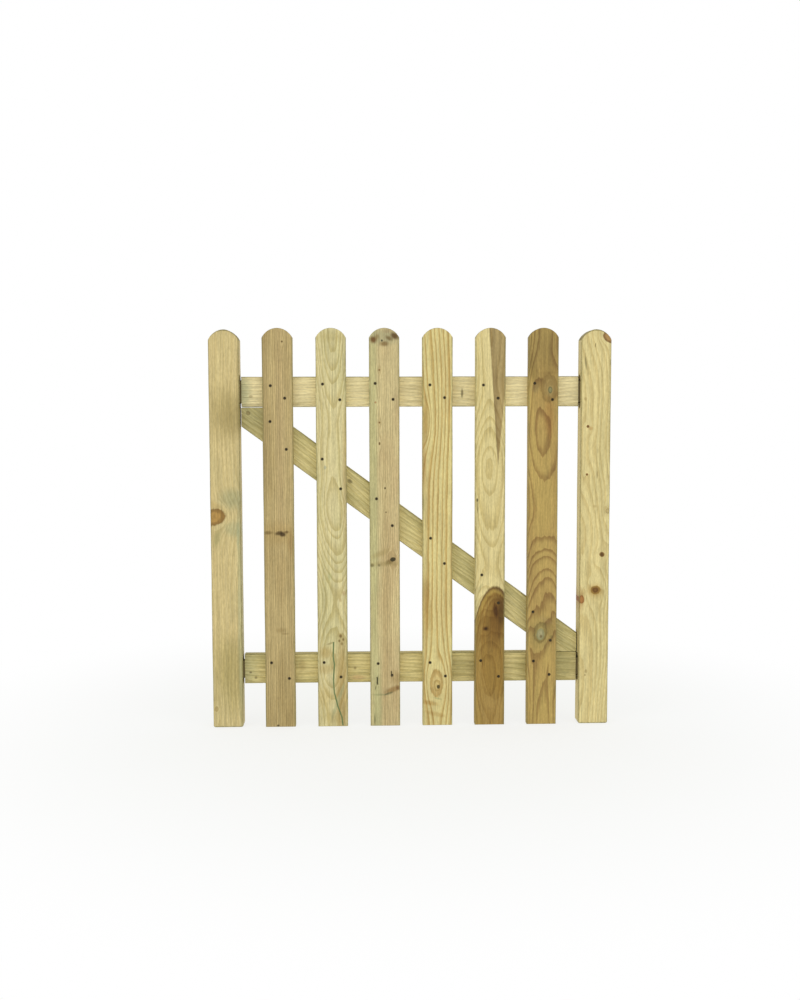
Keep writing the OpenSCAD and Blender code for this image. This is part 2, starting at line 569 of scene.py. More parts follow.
    def _knotted(self, g: Graph, board: Socket, colour: Socket, knot: Knot, grit: Socket) -> Socket:
        """Lays one knot over the wood, with faint rings of its own and a dark rim.

        Args:
            g: the material's nodes.
            board: board coordinates, in mm.
            colour: the colour so far.
            knot: the knot.
            grit: a fine unevenness, which makes rims ragged.

        Returns:
            The colour.
        """
        seen = self._oval(g, board, (knot.across, knot.along), (knot.wide, knot.long), knot.turn)
        far = g.add("VectorMath", {0: seen}, out=1, operation="LENGTH")
        far = g.add("Math", {0: grit, 1: 0.5, 2: far}, operation="MULTIPLY_ADD")
        far = g.add("Math", {0: far, 1: 0.25}, operation="SUBTRACT")
        year = g.add("Math", {0: far, 1: 12.0}, operation="MULTIPLY")
        year = g.add("Math", {0: year}, operation="SINE")
        shade = g.add(
            "MapRange",
            {"Value": far, "From Min": 0.5, "From Max": 1.0},
            interpolation_type="SMOOTHSTEP",
        )
        shade = g.add("Math", {0: year, 1: 0.2, 2: shade}, operation="MULTIPLY_ADD", use_clamp=True)
        inside = g.add(
            "Mix",
            {0: shade, 6: linear(knot.core), 7: linear(knot.rim)},
            out=2,
            data_type="RGBA",
        )
        share = g.add(
            "MapRange",
            {"Value": far, "From Min": 1.18, "From Max": 0.95, "To Max": knot.strength},
            interpolation_type="SMOOTHSTEP",
        )
        return g.add("Mix", {0: share, 6: colour, 7: inside}, out=2, data_type="RGBA")

    def _streaked(self, g: Graph, colour: Socket, noise: Socket, share: float) -> Socket:
        """Lightens and darkens the colour by up to share, by a noise.

        Args:
            g: the material's nodes.
            colour: the colour so far.
            noise: the unevenness it follows, 0 to 1.
            share: the most that it changes the colour.

        Returns:
            The colour.
        """
        level = g.add(
            "MapRange",
            {
                "Value": noise,
                "From Min": 0.3,
                "From Max": 0.7,
                "To Min": 1 - share,
                "To Max": 1 + share,
            },
        )
        return g.add("VectorMath", {0: colour, 3: level}, operation="SCALE")

    def _worked_and_shaded(self, g: Graph, colour: Socket, grit: Socket) -> Socket:
        """Darkens bruised wood round nails, the insides of splits and end grain, and paints shade in the
        nail pits, on the rails' tenons and along the arrises.

        Args:
            g: the material's nodes.
            colour: the colour so far.
            grit: a fine unevenness, which makes rims ragged.

        Returns:
            The colour.
        """
        # Painted shade: the edge colour darkens the arrises and rounded ends, patchily by the grit.
        edge = g.add("Attribute", {}, out=2, attribute_name="edge")
        patchy = g.add(
            "MapRange",
            {"Value": grit, "From Min": 0.3, "From Max": 0.7, "To Min": 0.35, "To Max": 1.0},
        )
        edge = g.add("Math", {0: edge, 1: patchy}, operation="MULTIPLY")
        colour = g.add("Mix", {0: edge, 6: colour, 7: linear(self.edge)}, out=2, data_type="RGBA")
        worked_and_painted_shade = g.add("Attribute", {}, out=0, attribute_name="worked_and_painted_shade")
        bruise_and_pit_shade = g.add("SeparateXYZ", {0: worked_and_painted_shade}, out=0)
        split = g.add("SeparateXYZ", {0: worked_and_painted_shade}, out=1)
        end = g.add("SeparateXYZ", {0: worked_and_painted_shade}, out=2)
        colour = g.add(
            "Mix",
            {0: bruise_and_pit_shade, 6: colour, 7: linear(self.bruise_and_pit_shade)},
            out=2,
            data_type="RGBA",
        )
        # On the rails the split share also covers the tenons, so the split colour lies there as painted
        # shade inside the mortises.
        colour = g.add(
            "Mix",
            {0: split, 6: colour, 7: linear(self.split_and_tenon_shade_colour)},
            out=2,
            data_type="RGBA",
        )
        end = g.add("Math", {0: end, 1: 0.35}, operation="MULTIPLY")
        return g.add("Mix", {0: end, 6: colour, 7: linear(self.end_grain)}, out=2, data_type="RGBA")

    def _shade(self, g: Graph, colour: Socket, late: Socket, fibre: Socket, streak: Socket) -> None:
        """Matt planed wood: late wood stands a little proud and is a little smoother.

        Args:
            g: the material's nodes.
            colour: the colour so far.
            late: the share of late wood.
            fibre: the unevenness of the fibres.
            streak: the unevenness of the streaks.
        """
        rough = g.add("MapRange", {"Value": fibre, "To Min": 0.58, "To Max": 0.78})
        rough = g.add("Math", {0: late, 1: -0.08, 2: rough}, operation="MULTIPLY_ADD")
        height = g.add("Math", {0: late, 1: 0.35, 2: fibre}, operation="MULTIPLY_ADD")
        height = g.add("Math", {0: streak, 1: 0.5, 2: height}, operation="MULTIPLY_ADD")
        bump = g.add("Bump", {"Strength": 0.6, "Distance": 0.12 * MM, "Height": height})
        surface = g.add(
            "BsdfPrincipled",
            {
                "Base Color": colour,
                "Roughness": rough,
                "IOR": WOOD_IOR,
                "Specular IOR Level": 0.25,
                "Normal": bump,
            },
        )
        g.add("OutputMaterial", {0: surface})


@dataclass(frozen=True)
class NailSteel:
    """Wire nails blackened by the treatment: brown-black oxide, with no bright metal left."""

    name: str = "blackened_wire_nail_steel"
    light: str = "453d2c"
    dark: str = "1d180e"

    def material(self) -> bpy.types.Material:
        """Makes the material, with blotches of about 2 mm.

        Returns:
            The finished material.
        """
        g = Graph(self.name)
        place = g.add("TexCoord", {}, out=3)
        blotch = g.add("TexNoise", {"Vector": place, "Scale": 500.0, "Detail": 3.0})
        share = g.add("MapRange", {"Value": blotch, "From Min": 0.35, "From Max": 0.65})
        colour = g.add(
            "Mix",
            {0: share, 6: linear(self.light), 7: linear(self.dark)},
            out=2,
            data_type="RGBA",
        )
        rough = g.add("MapRange", {"Value": blotch, "To Min": 0.4, "To Max": 0.75})
        bump = g.add("Bump", {"Strength": 0.4, "Distance": 0.05 * MM, "Height": blotch})
        surface = g.add(
            "BsdfPrincipled",
            {
                "Base Color": colour,
                "Roughness": rough,
                "Metallic": 0.0,
                "Specular IOR Level": 0.15,
                "Normal": bump,
            },
        )
        g.add("OutputMaterial", {0: surface})
        return g.material


# ---- meshes ----


def graded(
    low: float, high: float, step: float, fine: float, spots: list[tuple[float, float]]
) -> np.ndarray:
    """Positions from low to high that are step apart, and fine apart round each spot.

    Args:
        low: first position.
        high: last position.
        step: spacing away from the spots.
        fine: spacing near the spots.
        spots: (middle, reach) of each stretch that needs the fine spacing.

    Returns:
        The sorted positions as an array.
    """
    places = [np.linspace(low, high, max(2, round((high - low) / step) + 1))]
    for middle, reach in spots:
        near, far = max(low, middle - reach), min(high, middle + reach)
        if far > near:
            places.append(np.linspace(near, far, max(2, round((far - near) / fine) + 1)))
    joined = np.unique(np.concatenate(places))
    inner = joined[(joined > low + fine / 2) & (joined < high - fine / 2)]
    kept = inner[np.concatenate([[True], np.diff(inner) > 0.45 * fine])] if len(inner) else inner
    return np.concatenate([[low], kept, [high]])


def smooth(value: np.ndarray, start: float, end: float) -> np.ndarray:
    """Goes from 0 at start to 1 at end along 3 t^2 - 2 t^3.

    Args:
        value: the places.
        start: where it is 0.
        end: where it is 1.

    Returns:
        The share in each place.
    """
    t = np.clip((value - start) / (end - start), 0.0, 1.0)
    return t * t * (3 - 2 * t)


def new_object(name: str, points: np.ndarray, faces: np.ndarray) -> bpy.types.Object:
    """Makes a smooth-shaded mesh object at the origin.

    Args:
        name: the piece's name.
        points: vertices in metres, one row each.
        faces: four vertex numbers to a row; a triangle repeats its last one.

    Returns:
        The linked object.
    """
    mesh = bpy.data.meshes.new(name)
    rows = [list(dict.fromkeys(face)) for face in faces.tolist()]
    mesh.from_pydata(points, [], [row for row in rows if len(row) > 2])
    mesh.shade_smooth()
    mesh.update()
    made = bpy.data.objects.new(name, mesh)
    bpy.context.scene.collection.objects.link(made)
    return made


@dataclass
class Station:
    """One turn of the section round a board: where it is along, and how the section is fitted."""

    along: np.ndarray | float
    wide: float = 1.0
    thick: float = 1.0
    shift: float = 0.0
    end: float = 0.0
    # The share, 0 to 1, of the split colour laid over this station as painted shade; the rails' tenons use
    # it for the shade inside the stiles' mortises.
    painted_shade: float = 0.0


@dataclass
class Board:
    """A timber, worked out in board coordinates in mm and then put in its place.

    Its section is a rectangle with round arrises. nails are (across, along) on its front face.
    """

    name: str
    wood: Wood
    slot: str
    centre: np.ndarray
    turn: float
    width: float
    thick: float
    arris: float
    length: float
    ease: float = 0.8
    nails: list[tuple[float, float]] = field(default_factory=list)
    back_nails: list[tuple[float, float]] = field(default_factory=list)
    splits: tuple[Split, ...] = ()
    nail_reach: float = 3.1
    nail_depth: float = 0.95
    wander: float = 0.12

    def half_section(self) -> tuple[np.ndarray, np.ndarray]:
        """Half the section, from the middle of the left edge round the front to the right one.

        Each arris is a quarter circle: its centre plus the radius times cosine and sine.

        Returns:
            The places across and deep, in mm.
        """
        half, back = self.width / 2, self.thick / 2
        spots = [(across, self.nail_reach + 2.0) for across, _ in [*self.nails, *self.back_nails]]
        for split in self.splits:
            sides = [across for across, _ in split.points]
            spots.append(((min(sides) + max(sides)) / 2, (max(sides) - min(sides)) / 2 + 3.0))
        flat = graded(-half + self.arris, half - self.arris, 3.0, 0.75, spots)
        angle = np.linspace(0.0, math.pi / 2, 7)
        edge = np.linspace(0.0, 1.0, 5)[:-1] * (back - self.arris)
        across = np.concatenate(
            [
                np.full(len(edge), -half),
                -half + self.arris - self.arris * np.cos(angle),
                flat[1:-1],
                half - self.arris + self.arris * np.sin(angle),
                np.full(len(edge), half),
            ]
        )
        deep = np.concatenate(
            [
                -edge,
                -back + self.arris - self.arris * np.sin(angle),
                np.full(len(flat) - 2, -back),
                -back + self.arris - self.arris * np.cos(angle),
                -edge[::-1],
            ]
        )
        return across, deep

    def limit(self, across: np.ndarray, end: End) -> np.ndarray:
        """Where the board ends along, for each place across. A plain board is cut square.

        Args:
            across: places across, in mm.
            end: which end.

        Returns:
            The place along, in mm, for each.
        """
        return np.full_like(across, 0.0 if end is End.NEAR else self.length)

    def body_rows(self) -> np.ndarray:
        """Places along the board of the rows that run straight across, in mm.

        Returns:
            The places, in mm.
        """
        spots = [(along, self.nail_reach + 1.6) for _, along in [*self.nails, *self.back_nails]]
        for split in self.splits:
            ends = [along for _, along in split.points]
            spots.append(((min(ends) + max(ends)) / 2, (max(ends) - min(ends)) / 2 + 4.0))
        low = float(self.limit(self._span(), End.NEAR).max()) + 2 * self.ease + 1.0
        high = float(self.limit(self._span(), End.FAR).min()) - 2 * self.ease - 1.0
        return graded(low, high, 6.0, 0.8, spots)

    def _span(self) -> np.ndarray:
        """Places across the whole width, for finding where the ends are."""
        return np.linspace(-self.width / 2, self.width / 2, 41)

    def end_stations(self, across: np.ndarray, end: End, row: float) -> list[Station]:
        """Stations from the last straight row out to the end, which closes on the middle line.

        The rows first fan out to the end's own shape. Then the section draws in by the ease
        radius while it goes out by it, along a quarter circle. Then it flattens to a line.

        Args:
            across: the section's places across.
            end: which end.
            row: place along of the last straight row.

        Returns:
            The stations, in order outwards.
        """
        limit = self.limit(across, end) - end.value * self.ease
        fan = max(2, round(float(np.abs(limit - row).max()) / 4.0))
        made = [Station(row + (limit - row) * step / fan) for step in range(1, fan + 1)]
        for angle in np.linspace(0, math.pi / 2, 5)[1:]:
            inset = self.ease * (1 - math.cos(angle))
            made.append(
                Station(
                    limit + end.value * self.ease * math.sin(angle),
                    wide=1 - 2 * inset / self.width,
                    thick=1 - 2 * inset / self.thick,
                    end=float(angle > 1),
                )
            )
        last = made[-1]
        made += [
            replace(last, thick=last.thick * share, end=1.0) for share in (0.8, 0.6, 0.4, 0.2, 0)
        ]
        return made

    def stations(self, across: np.ndarray) -> list[Station]:
        """Every station from the near end's middle line to the far end's.

        Args:
            across: the section's places across, in mm.

        Returns:
            The stations, from the near end.
        """
        rows = self.body_rows()
        near = self.end_stations(across, End.NEAR, rows[0])
        far = self.end_stations(across, End.FAR, rows[-1])
        return [*reversed(near), *[Station(row) for row in rows], *far]

    def relief(
        self,
        across: np.ndarray,
        along: np.ndarray,
        nails: list[tuple[float, float]],
        splits: tuple[Split, ...],
    ) -> tuple[np.ndarray, ...]:
        """How far a face is pressed in, how bruised it is round nails, with painted shade in the nail
        pits, and how split it is.

        A nail's pit is flat as far as its reach, then rises in a smooth step to a shallow dish,
        exp(-(distance / 7)^2), where the hammer struck. A split is a V: its depth falls off in
        a straight line with the distance to its path.

        Args:
            across: places across, in mm.
            along: places along, in mm.
            nails: (across, along) of each nail in the face.
            splits: the face's cracks.

        Returns:
            Depth in mm, bruising with painted shade in the pits 0 to 1, and splitting 0 to 1.
        """
        depth = np.zeros_like(across)
        bruise_and_pit_shade = np.zeros_like(across)
        for x, z in nails:
            far = np.hypot(across - x, along - z)
            pit = 1 - smooth(far, self.nail_reach - 0.3, self.nail_reach + 0.5)
            depth = np.maximum(depth, self.nail_depth * pit + 0.15 * np.exp(-((far / 7) ** 2)))
            # Painted shade: this share covers the nail's pit as well as the ring round it, so its dark
            # colour stands for shade in the pit as well as bruised fibres.
            bruise_and_pit_shade = np.maximum(bruise_and_pit_shade, 0.9 * (1 - smooth(far, 2.6, self.nail_reach + 1.1)))
        open_share = np.zeros_like(across)
        for split in splits:
            for (x0, z0), (x1, z1) in zip(split.points[:-1], split.points[1:]):
                run = (x1 - x0) ** 2 + (z1 - z0) ** 2
                t = np.clip(((across - x0) * (x1 - x0) + (along - z0) * (z1 - z0)) / run, 0, 1)
                far = np.hypot(across - x0 - t * (x1 - x0), along - z0 - t * (z1 - z0))
                share = np.clip(1 - far / split.wide, 0, 1)
                depth = np.maximum(depth, split.depth * share)
                open_share = np.maximum(open_share, smooth(share, 0.0, 0.6))
        return depth, bruise_and_pit_shade, open_share

    def surface(self) -> tuple[np.ndarray, np.ndarray, np.ndarray]:
        """Carries the section through the stations.

        Returns:
            Points in mm, faces, and for each point how bruised, with painted shade in nail pits, how split
            or painted with shade on a tenon, how much end grain, and how near an arris or rounded end it
            is, which sets its painted edge shade.
        """
        across, deep = self.half_section()
        count = len(across) - 1
        ring_across = np.concatenate([across, across[-2:0:-1]])
        ring_deep = np.concatenate([deep, -deep[-2:0:-1]])
        stations = self.stations(ring_across)
        shape = (len(stations), 2 * count)
        wide = np.array([s.wide for s in stations])[:, None]
        thin = np.array([s.thick for s in stations])[:, None]
        shift = np.array([s.shift for s in stations])[:, None]
        x = ring_across[None] * wide
        y = ring_deep[None] * thin + shift
        z = np.stack([np.broadcast_to(s.along, (2 * count,)) for s in stations])
        body = np.array([s.end == 0 for s in stations], float)[:, None]
        front = (y < -self.thick / 2 + 0.25) * body
        back = (y > self.thick / 2 - 0.25) * body
        depth, bruise_and_pit_shade, split = self.relief(x, z, self.nails, self.splits)
        rear_depth, rear_bruise_and_pit_shade, _ = self.relief(x, z, self.back_nails, ())
        y = y + depth * front - rear_depth * back
        drift = self._drift(z)
        rim = smooth(np.abs(ring_across), self.width / 2 - 6.0, self.width / 2)
        x = x - self.wander * drift * rim[None] * np.sign(ring_across)[None] * body
        end = np.broadcast_to(np.array([s.end for s in stations])[:, None], shape)
        # Painted shade: the rails' shoulder and tenon stations carry a share of the split colour for the
        # shade inside the mortises.
        painted_shade = np.array([s.painted_shade for s in stations])[:, None]
        split = np.maximum(split * front, painted_shade)
        worked_and_painted_shade = np.stack([bruise_and_pit_shade * front + rear_bruise_and_pit_shade * back, split, end], axis=-1)
        # Painted shade: the edge share is highest on the arrises and on the rows where the ends round off.
        corner = self.thick / 2 - self.arris
        arris = smooth(np.abs(ring_across), self.width / 2 - 3.2, self.width / 2 - 0.3)
        arris = arris * smooth(np.abs(ring_deep), corner - 1.5, corner + self.arris / 2)
        rows = np.array([s.wide < 1 for s in stations], float)[:, None]
        edge = np.maximum(arris[None], rows)
        number = np.arange(x.size).reshape(shape)
        after = np.roll(number, -1, axis=1)
        faces = np.stack([number[:-1], after[:-1], after[1:], number[1:]], axis=-1)
        points = np.stack([x, y, z], axis=-1).reshape(-1, 3)
        _, first, merged = np.unique(
            points.round(4), axis=0, return_index=True, return_inverse=True
        )
        shades = np.column_stack([worked_and_painted_shade.reshape(-1, 3), edge.reshape(-1, 1)])
        return points[first], merged.reshape(-1)[faces.reshape(-1, 4)], shades[first]

    def _drift(self, along: np.ndarray) -> np.ndarray:
        """How unevenly the edges are planed: 1.6 plus two sine waves, so it is never below 0.

        Args:
            along: places along, in mm.

        Returns:
            The drift in each place, as a multiple of wander.
        """
        start = self.centre[0] * 90
        return 1.6 + np.sin(along / 47.0 + start) + 0.6 * np.sin(along / 19.0 + 2.0)

    def placed(self, points: np.ndarray) -> np.ndarray:
        """Puts board coordinates in mm into the gate's frame in metres.

        Args:
            points: board coordinates, in mm.

        Returns:
            The same points in the gate's frame, in metres.
        """
        c, s = math.cos(self.turn), math.sin(self.turn)
        axes = np.array([[c, 0, -s], [0, 1, 0], [s, 0, c]])
        return points * MM @ axes + self.centre

    def build(self) -> bpy.types.Object:
        """Makes the board, dresses it and stands it in for its CAD node.

        Returns:
            The piece.
        """
        points, faces, shades = self.surface()
        made = new_object(self.name, self.placed(points), faces)
        layer = made.data.attributes.new("worked_and_painted_shade", "FLOAT_VECTOR", "POINT")
        layer.data.foreach_set("vector", shades[:, :3].astype(np.float32).ravel())
        layer = made.data.attributes.new("edge", "FLOAT", "POINT")
        layer.data.foreach_set("value", shades[:, 3].astype(np.float32).ravel())
        made.data.materials.append(self.wood.material(self.centre, self.turn))
        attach(made, "root")
        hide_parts(self.name)
        log.info("%s: %d faces", self.name, len(made.data.polygons))
        return made


@dataclass
class ArchedBoard(Board):
    """An upright board with an arched top: a circle's arc across its width."""

    arch: float = 38.0

    def limit(self, across: np.ndarray, end: End) -> np.ndarray:
        """The foot is square. The top is the circle of radius arch that touches the length.

        Args:
            across: places across, in mm.
            end: which end.

        Returns:
            The place along, in mm, for each.
        """
        if end is End.NEAR:
            return np.zeros_like(across)
        return self.length - self.arch + np.sqrt(self.arch**2 - across**2)


@dataclass
class TenonedBoard(Board):
    """A rail: a square shoulder at each end, and a thinner tenon flush with the front."""

    shoulder: float = 33.0
    tenon_height: float = 52.0
    tenon_thick: float = 13.5

    def stations(self, across: np.ndarray) -> list[Station]:
        """The body's rows, then at each end the shoulder, the tenon and its flat end.

        Args:
            across: the section's places across, in mm.

        Returns:
            The stations, from the near end.
        """
        rows = graded(
            self.shoulder + 1.0,
            self.length - self.shoulder - 1.0,
            6.0,
            0.8,
            [(along, self.nail_reach + 1.6) for _, along in self.nails],
        )
        wide = self.tenon_height / self.width
        thick = self.tenon_thick / self.thick
        shift = (self.tenon_thick - self.thick) / 2
        made = [Station(row) for row in rows]
        for end in End:
            face = self.shoulder if end is End.NEAR else self.length - self.shoulder
            tip = 0.0 if end is End.NEAR else self.length
            # The shoulder station (0.3) and the tenon stations (0.9) carry painted shade: the split colour
            # darkens the tenon as the shade inside the mortise, and their end of 1.0 also lays the
            # end-grain colour on it.
            outer = [
                Station(face - end.value * 0.5),
                Station(face, 0.99, 0.98, shift * 0.02, 1.0, 0.3),
                Station(face, wide, thick, shift, 1.0, 0.9),
                Station(tip, wide, thick, shift, 1.0, 0.9),
                Station(tip, wide, 0.0, shift, 1.0, 0.9),
            ]
            made = [*reversed(outer), *made] if end is End.NEAR else [*made, *outer]
        return made


@dataclass
class MitredBoard(Board):
    """A brace: each end is cut to a point by the upright of the stile and the level of a rail."""

    reach: float = 380.0
    rise: float = 280.5
    top_fit: float = 0.5

    def limit(self, across: np.ndarray, end: End) -> np.ndarray:
        """The nearer of the two cuts, met going along from each place across.

        From the middle, the upright cut is (reach + a sin t) / cos t away and the level cut
        (rise - a cos t) / sin t, where t is the brace's slope and a the place across. The two
        ends are alike turned half round, so a changes sign.

        Args:
            across: places across, in mm.
            end: which end.

        Returns:
            The place along, in mm, for each.
        """
        slope = self.turn - math.pi / 2
        middle = self.length / 2
        side = across * end.value
        upright = (self.reach + side * math.sin(slope)) / math.cos(slope)
        level = self.rise - (self.top_fit if end is End.NEAR else 0.0)
        level = (level - side * math.cos(slope)) / math.sin(slope)
        return middle + end.value * np.minimum(upright, level)


# ---- the frame's own sizes ----


def box_mm(node: str) -> tuple[np.ndarray, np.ndarray]:
    """Lowest and highest corners of a CAD node, in mm.

    Args:
        node: the CAD node.

    Returns:
        The two corners.
    """
    low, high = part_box(node)
    return np.array(low) / MM, np.array(high) / MM


def nail_heads(node: str, end: End) -> np.ndarray:
    """Middles of the head faces of a CAD nail group, as x and z in mm.

    The vertices on the heads' faces are sorted by height and parted where there is a gap.

    Args:
        node: the nail group's node.
        end: NEAR for nails driven from the front, FAR from the back.

    Returns:
        One row for each nail, from the lowest up.
    """
    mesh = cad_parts[node].data
    flat = np.zeros(len(mesh.vertices) * 3)
    mesh.vertices.foreach_get("co", flat)
    points = flat.reshape(-1, 3) / MM
    face = points[:, 1].min() if end is End.NEAR else points[:, 1].max()
    heads = points[np.abs(points[:, 1] - face) < 0.01]
    heads = heads[np.argsort(heads[:, 2])]
    parts = np.split(heads, np.flatnonzero(np.diff(heads[:, 2]) > 8.0) + 1)
    middles = [(part.min(0) + part.max(0)) / 2 for part in parts]
    return np.array([[middle[0], middle[2]] for middle in middles])


# ---- sub-assemblies ----


@dataclass
class Stiles:
    """The two thick uprights, with a mortise cut into each for each rail's tenon."""

    arris: float = 4.5
    foot_ease: float = 4.0
    mortise_depth: float = 40.0
    mortise_front: float = -12.0
    mortise_back: float = 11.3
    top_mortise: float = 75.9
    bottom_mortise: float = 65.9

    def left_wood(self) -> Wood:
        """Pale straw with a broad olive band, and one big knot on its left edge.

        Returns:
            The finish.
        """
        return Wood(
            name="planed_softwood_left_stile",
            early="d2c089",
            late="bda970",
            rings=Rings(6.0, 60.0, 40.0, rise=-0.02, roll=20.0, contrast=0.55, crisp=0.2, seed=3.1),
            tint="b4b080",
            tint_share=0.10,
            marks=(
                Mark(6, 712, 40, 52, "a5955f", 0.62, 0.7),
                Mark(20, 700, 20, 34, "9c8c58", 0.40, 0.8),
                Mark(16, 120, 30, 80, "a89a60", 0.62, 0.6),
                Mark(-8, 150, 24, 60, "b3a469", 0.40, 0.7),
                Mark(14, 520, 24, 20, "a1a278", 0.62, 0.6, 25),
                Mark(18, 452, 20, 16, "a6a87e", 0.55, 0.6, 20),
                Mark(-20, 432, 7, 20, "a09c66", 0.50, 0.6, 15),
                Mark(27, 440, 3, 34, "9aa07a", 0.50, 0.6),
                Mark(-24, 506, 14, 7, "cdb67a", 0.60, 0.6, 35),
                Mark(30, 250, 5, 260, "a9ac84", 0.55, 0.6),
            ),
            knots=(
                Knot(-28, 479, 27, 18, "b08a48", "7c5c2a", flow=1.15, stretch=1.4, turn=-14),
                Knot(-26, 43, 4, 6, "b29a62", "97844c", 0.7, flow=2.0),
            ),
        )

    def right_wood(self) -> Wood:
        """Pale yellow, with a brown knot at the top corner and a row of small ones below.

        Returns:
            The finish.
        """
        return Wood(
            name="planed_softwood_right_stile",
            early="dccd92",
            late="bfa96b",
            rings=Rings(4.6, -40.0, 34.0, rise=0.03, roll=34.0, contrast=0.6, crisp=0.25, seed=7.7),
            tint="c6bc84",
            tint_share=0.15,
            marks=(
                Mark(27, 300, 8, 300, "ddd096", 0.35, 0.6),
                Mark(-3, 861, 1.3, 5, "7d7048", 0.75, 0.5, 8),
                Mark(-24, 823, 2.0, 14, "86805a", 0.70, 0.5, -6),
                Mark(33, 822, 2.0, 8, "5e5a3c", 0.60, 0.5),
                Mark(-24, 742, 3.0, 4, "a08a52", 0.50, 0.5),
                Mark(-12, 676, 5, 4, "b99458", 0.60, 0.6, 20),
                Mark(4, 572, 1.0, 8, "8a7444", 0.80, 0.5),
                Mark(0, 500, 4, 3, "b09a60", 0.50, 0.6),
                Mark(-17, 122, 3, 4, "a08850", 0.55, 0.5),
                Mark(-19, 113, 2, 2, "8a7040", 0.60, 0.5),
                Mark(-30, 285, 6, 22, "a87f48", 0.55, 0.7),
                Mark(2, 309, 17, 14, "c4a562", 0.55, 0.5),
            ),
            knots=(
                Knot(28, 879, 15, 10, "a98450", "6f4c24", flow=1.2, stretch=1.2, turn=38),
                Knot(-18, 680, 3.4, 3.0, "6f4a20", "7d5a2a", flow=2.5),
                Knot(-19, 572, 2.8, 2.8, "704c22", "8a6430", flow=2.5),
                Knot(29, 489, 4.5, 5.0, "c8b47a", "8f7f52", 0.8, flow=2.0),
                Knot(17, 390, 6.0, 5.2, "5c3c14", "93713a", flow=2.2, turn=20),
                Knot(3, 309, 11, 9.5, "6a4518", "a3823e", flow=1.8, stretch=1.8),
                Knot(-29, 287, 6.0, 9.0, "a8733e", "8a5c2c", flow=1.6),
            ),
        )

    def build(self, name: str, wood: Wood) -> bpy.types.Object:
        """Makes one stile and cuts its two mortises.

        Args:
            name: the CAD node.
            wood: its finish.

        Returns:
            The piece.
        """
        low, high = box_mm(name)
        size = high - low
        centre = np.array([(low[0] + high[0]) / 2, 0.0, low[2]]) * MM
        side = name.split("_")[0]
        groups = [f"{place}_{side}_tenon_nails" for place in ("top", "bottom")]
        heads = np.concatenate([nail_heads(group, End.FAR) for group in groups])
        board = ArchedBoard(
            name,
            wood,
            "stile_wood",
            centre,
            math.radians(Axis.UPRIGHT.value),
            size[0],
            size[1],
            self.arris,
            size[2],
            ease=self.foot_ease,
            back_nails=[(x - centre[0] / MM, z - low[2]) for x, z in heads],
        )
        made = board.build()
        inner = high[0] if centre[0] < 0 else low[0]
        for rail, height in (("top_rail", self.top_mortise), ("bottom_rail", self.bottom_mortise)):
            rail_low, rail_high = box_mm(rail)
            self._cut(made, inner, (rail_low[2] + rail_high[2]) / 2, height)
        return made

    def _cut(self, stile: bpy.types.Object, inner: float, middle: float, height: float) -> None:
        """Cuts a round-ended mortise: half circles joined by straight cheeks.

        Args:
            stile: the piece to cut.
            inner: x of the stile's inner face, in mm.
            middle: height of the mortise's middle, in mm.
            height: its height, round ends and all, in mm.
        """
        radius = (self.mortise_back - self.mortise_front) / 2
        straight = height / 2 - radius
        angle = np.linspace(0, math.pi, 17)
        upper = np.stack([radius * np.cos(angle), straight + radius * np.sin(angle)], axis=1)
        outline = np.concatenate([upper, -upper])
        count = len(outline)
        inwards = -1.0 if inner < 0 else 1.0
        ends = (inner - inwards, inner + inwards * self.mortise_depth)
        rows = [
            np.column_stack(
                [
                    np.full(count, x),
                    outline[:, 0] + (self.mortise_front + self.mortise_back) / 2,
                    outline[:, 1] + middle,
                ]
            )
            for x in ends
        ]
        mesh = bpy.data.meshes.new("mortise_cutter")
        around = np.arange(count)
        after = np.roll(around, -1)
        sides = np.stack([around, after, after + count, around + count], axis=1).tolist()
        caps = [around[::-1].tolist(), (around + count).tolist()]
        if inwards < 0:
            sides, caps = [face[::-1] for face in sides], [face[::-1] for face in caps]
        mesh.from_pydata(np.concatenate(rows) * MM, [], sides + caps)
        cutter = bpy.data.objects.new("mortise_cutter", mesh)
        bpy.context.scene.collection.objects.link(cutter)
        cut = stile.modifiers.new("mortise", "BOOLEAN")
        cut.operation, cut.solver, cut.object = "DIFFERENCE", "EXACT", cutter
        solid = stile.evaluated_get(bpy.context.evaluated_depsgraph_get())
        before = stile.data
        stile.data = bpy.data.meshes.new_from_object(solid)
        stile.modifiers.remove(cut)
        bpy.data.meshes.remove(before)
        bpy.data.objects.remove(cutter)


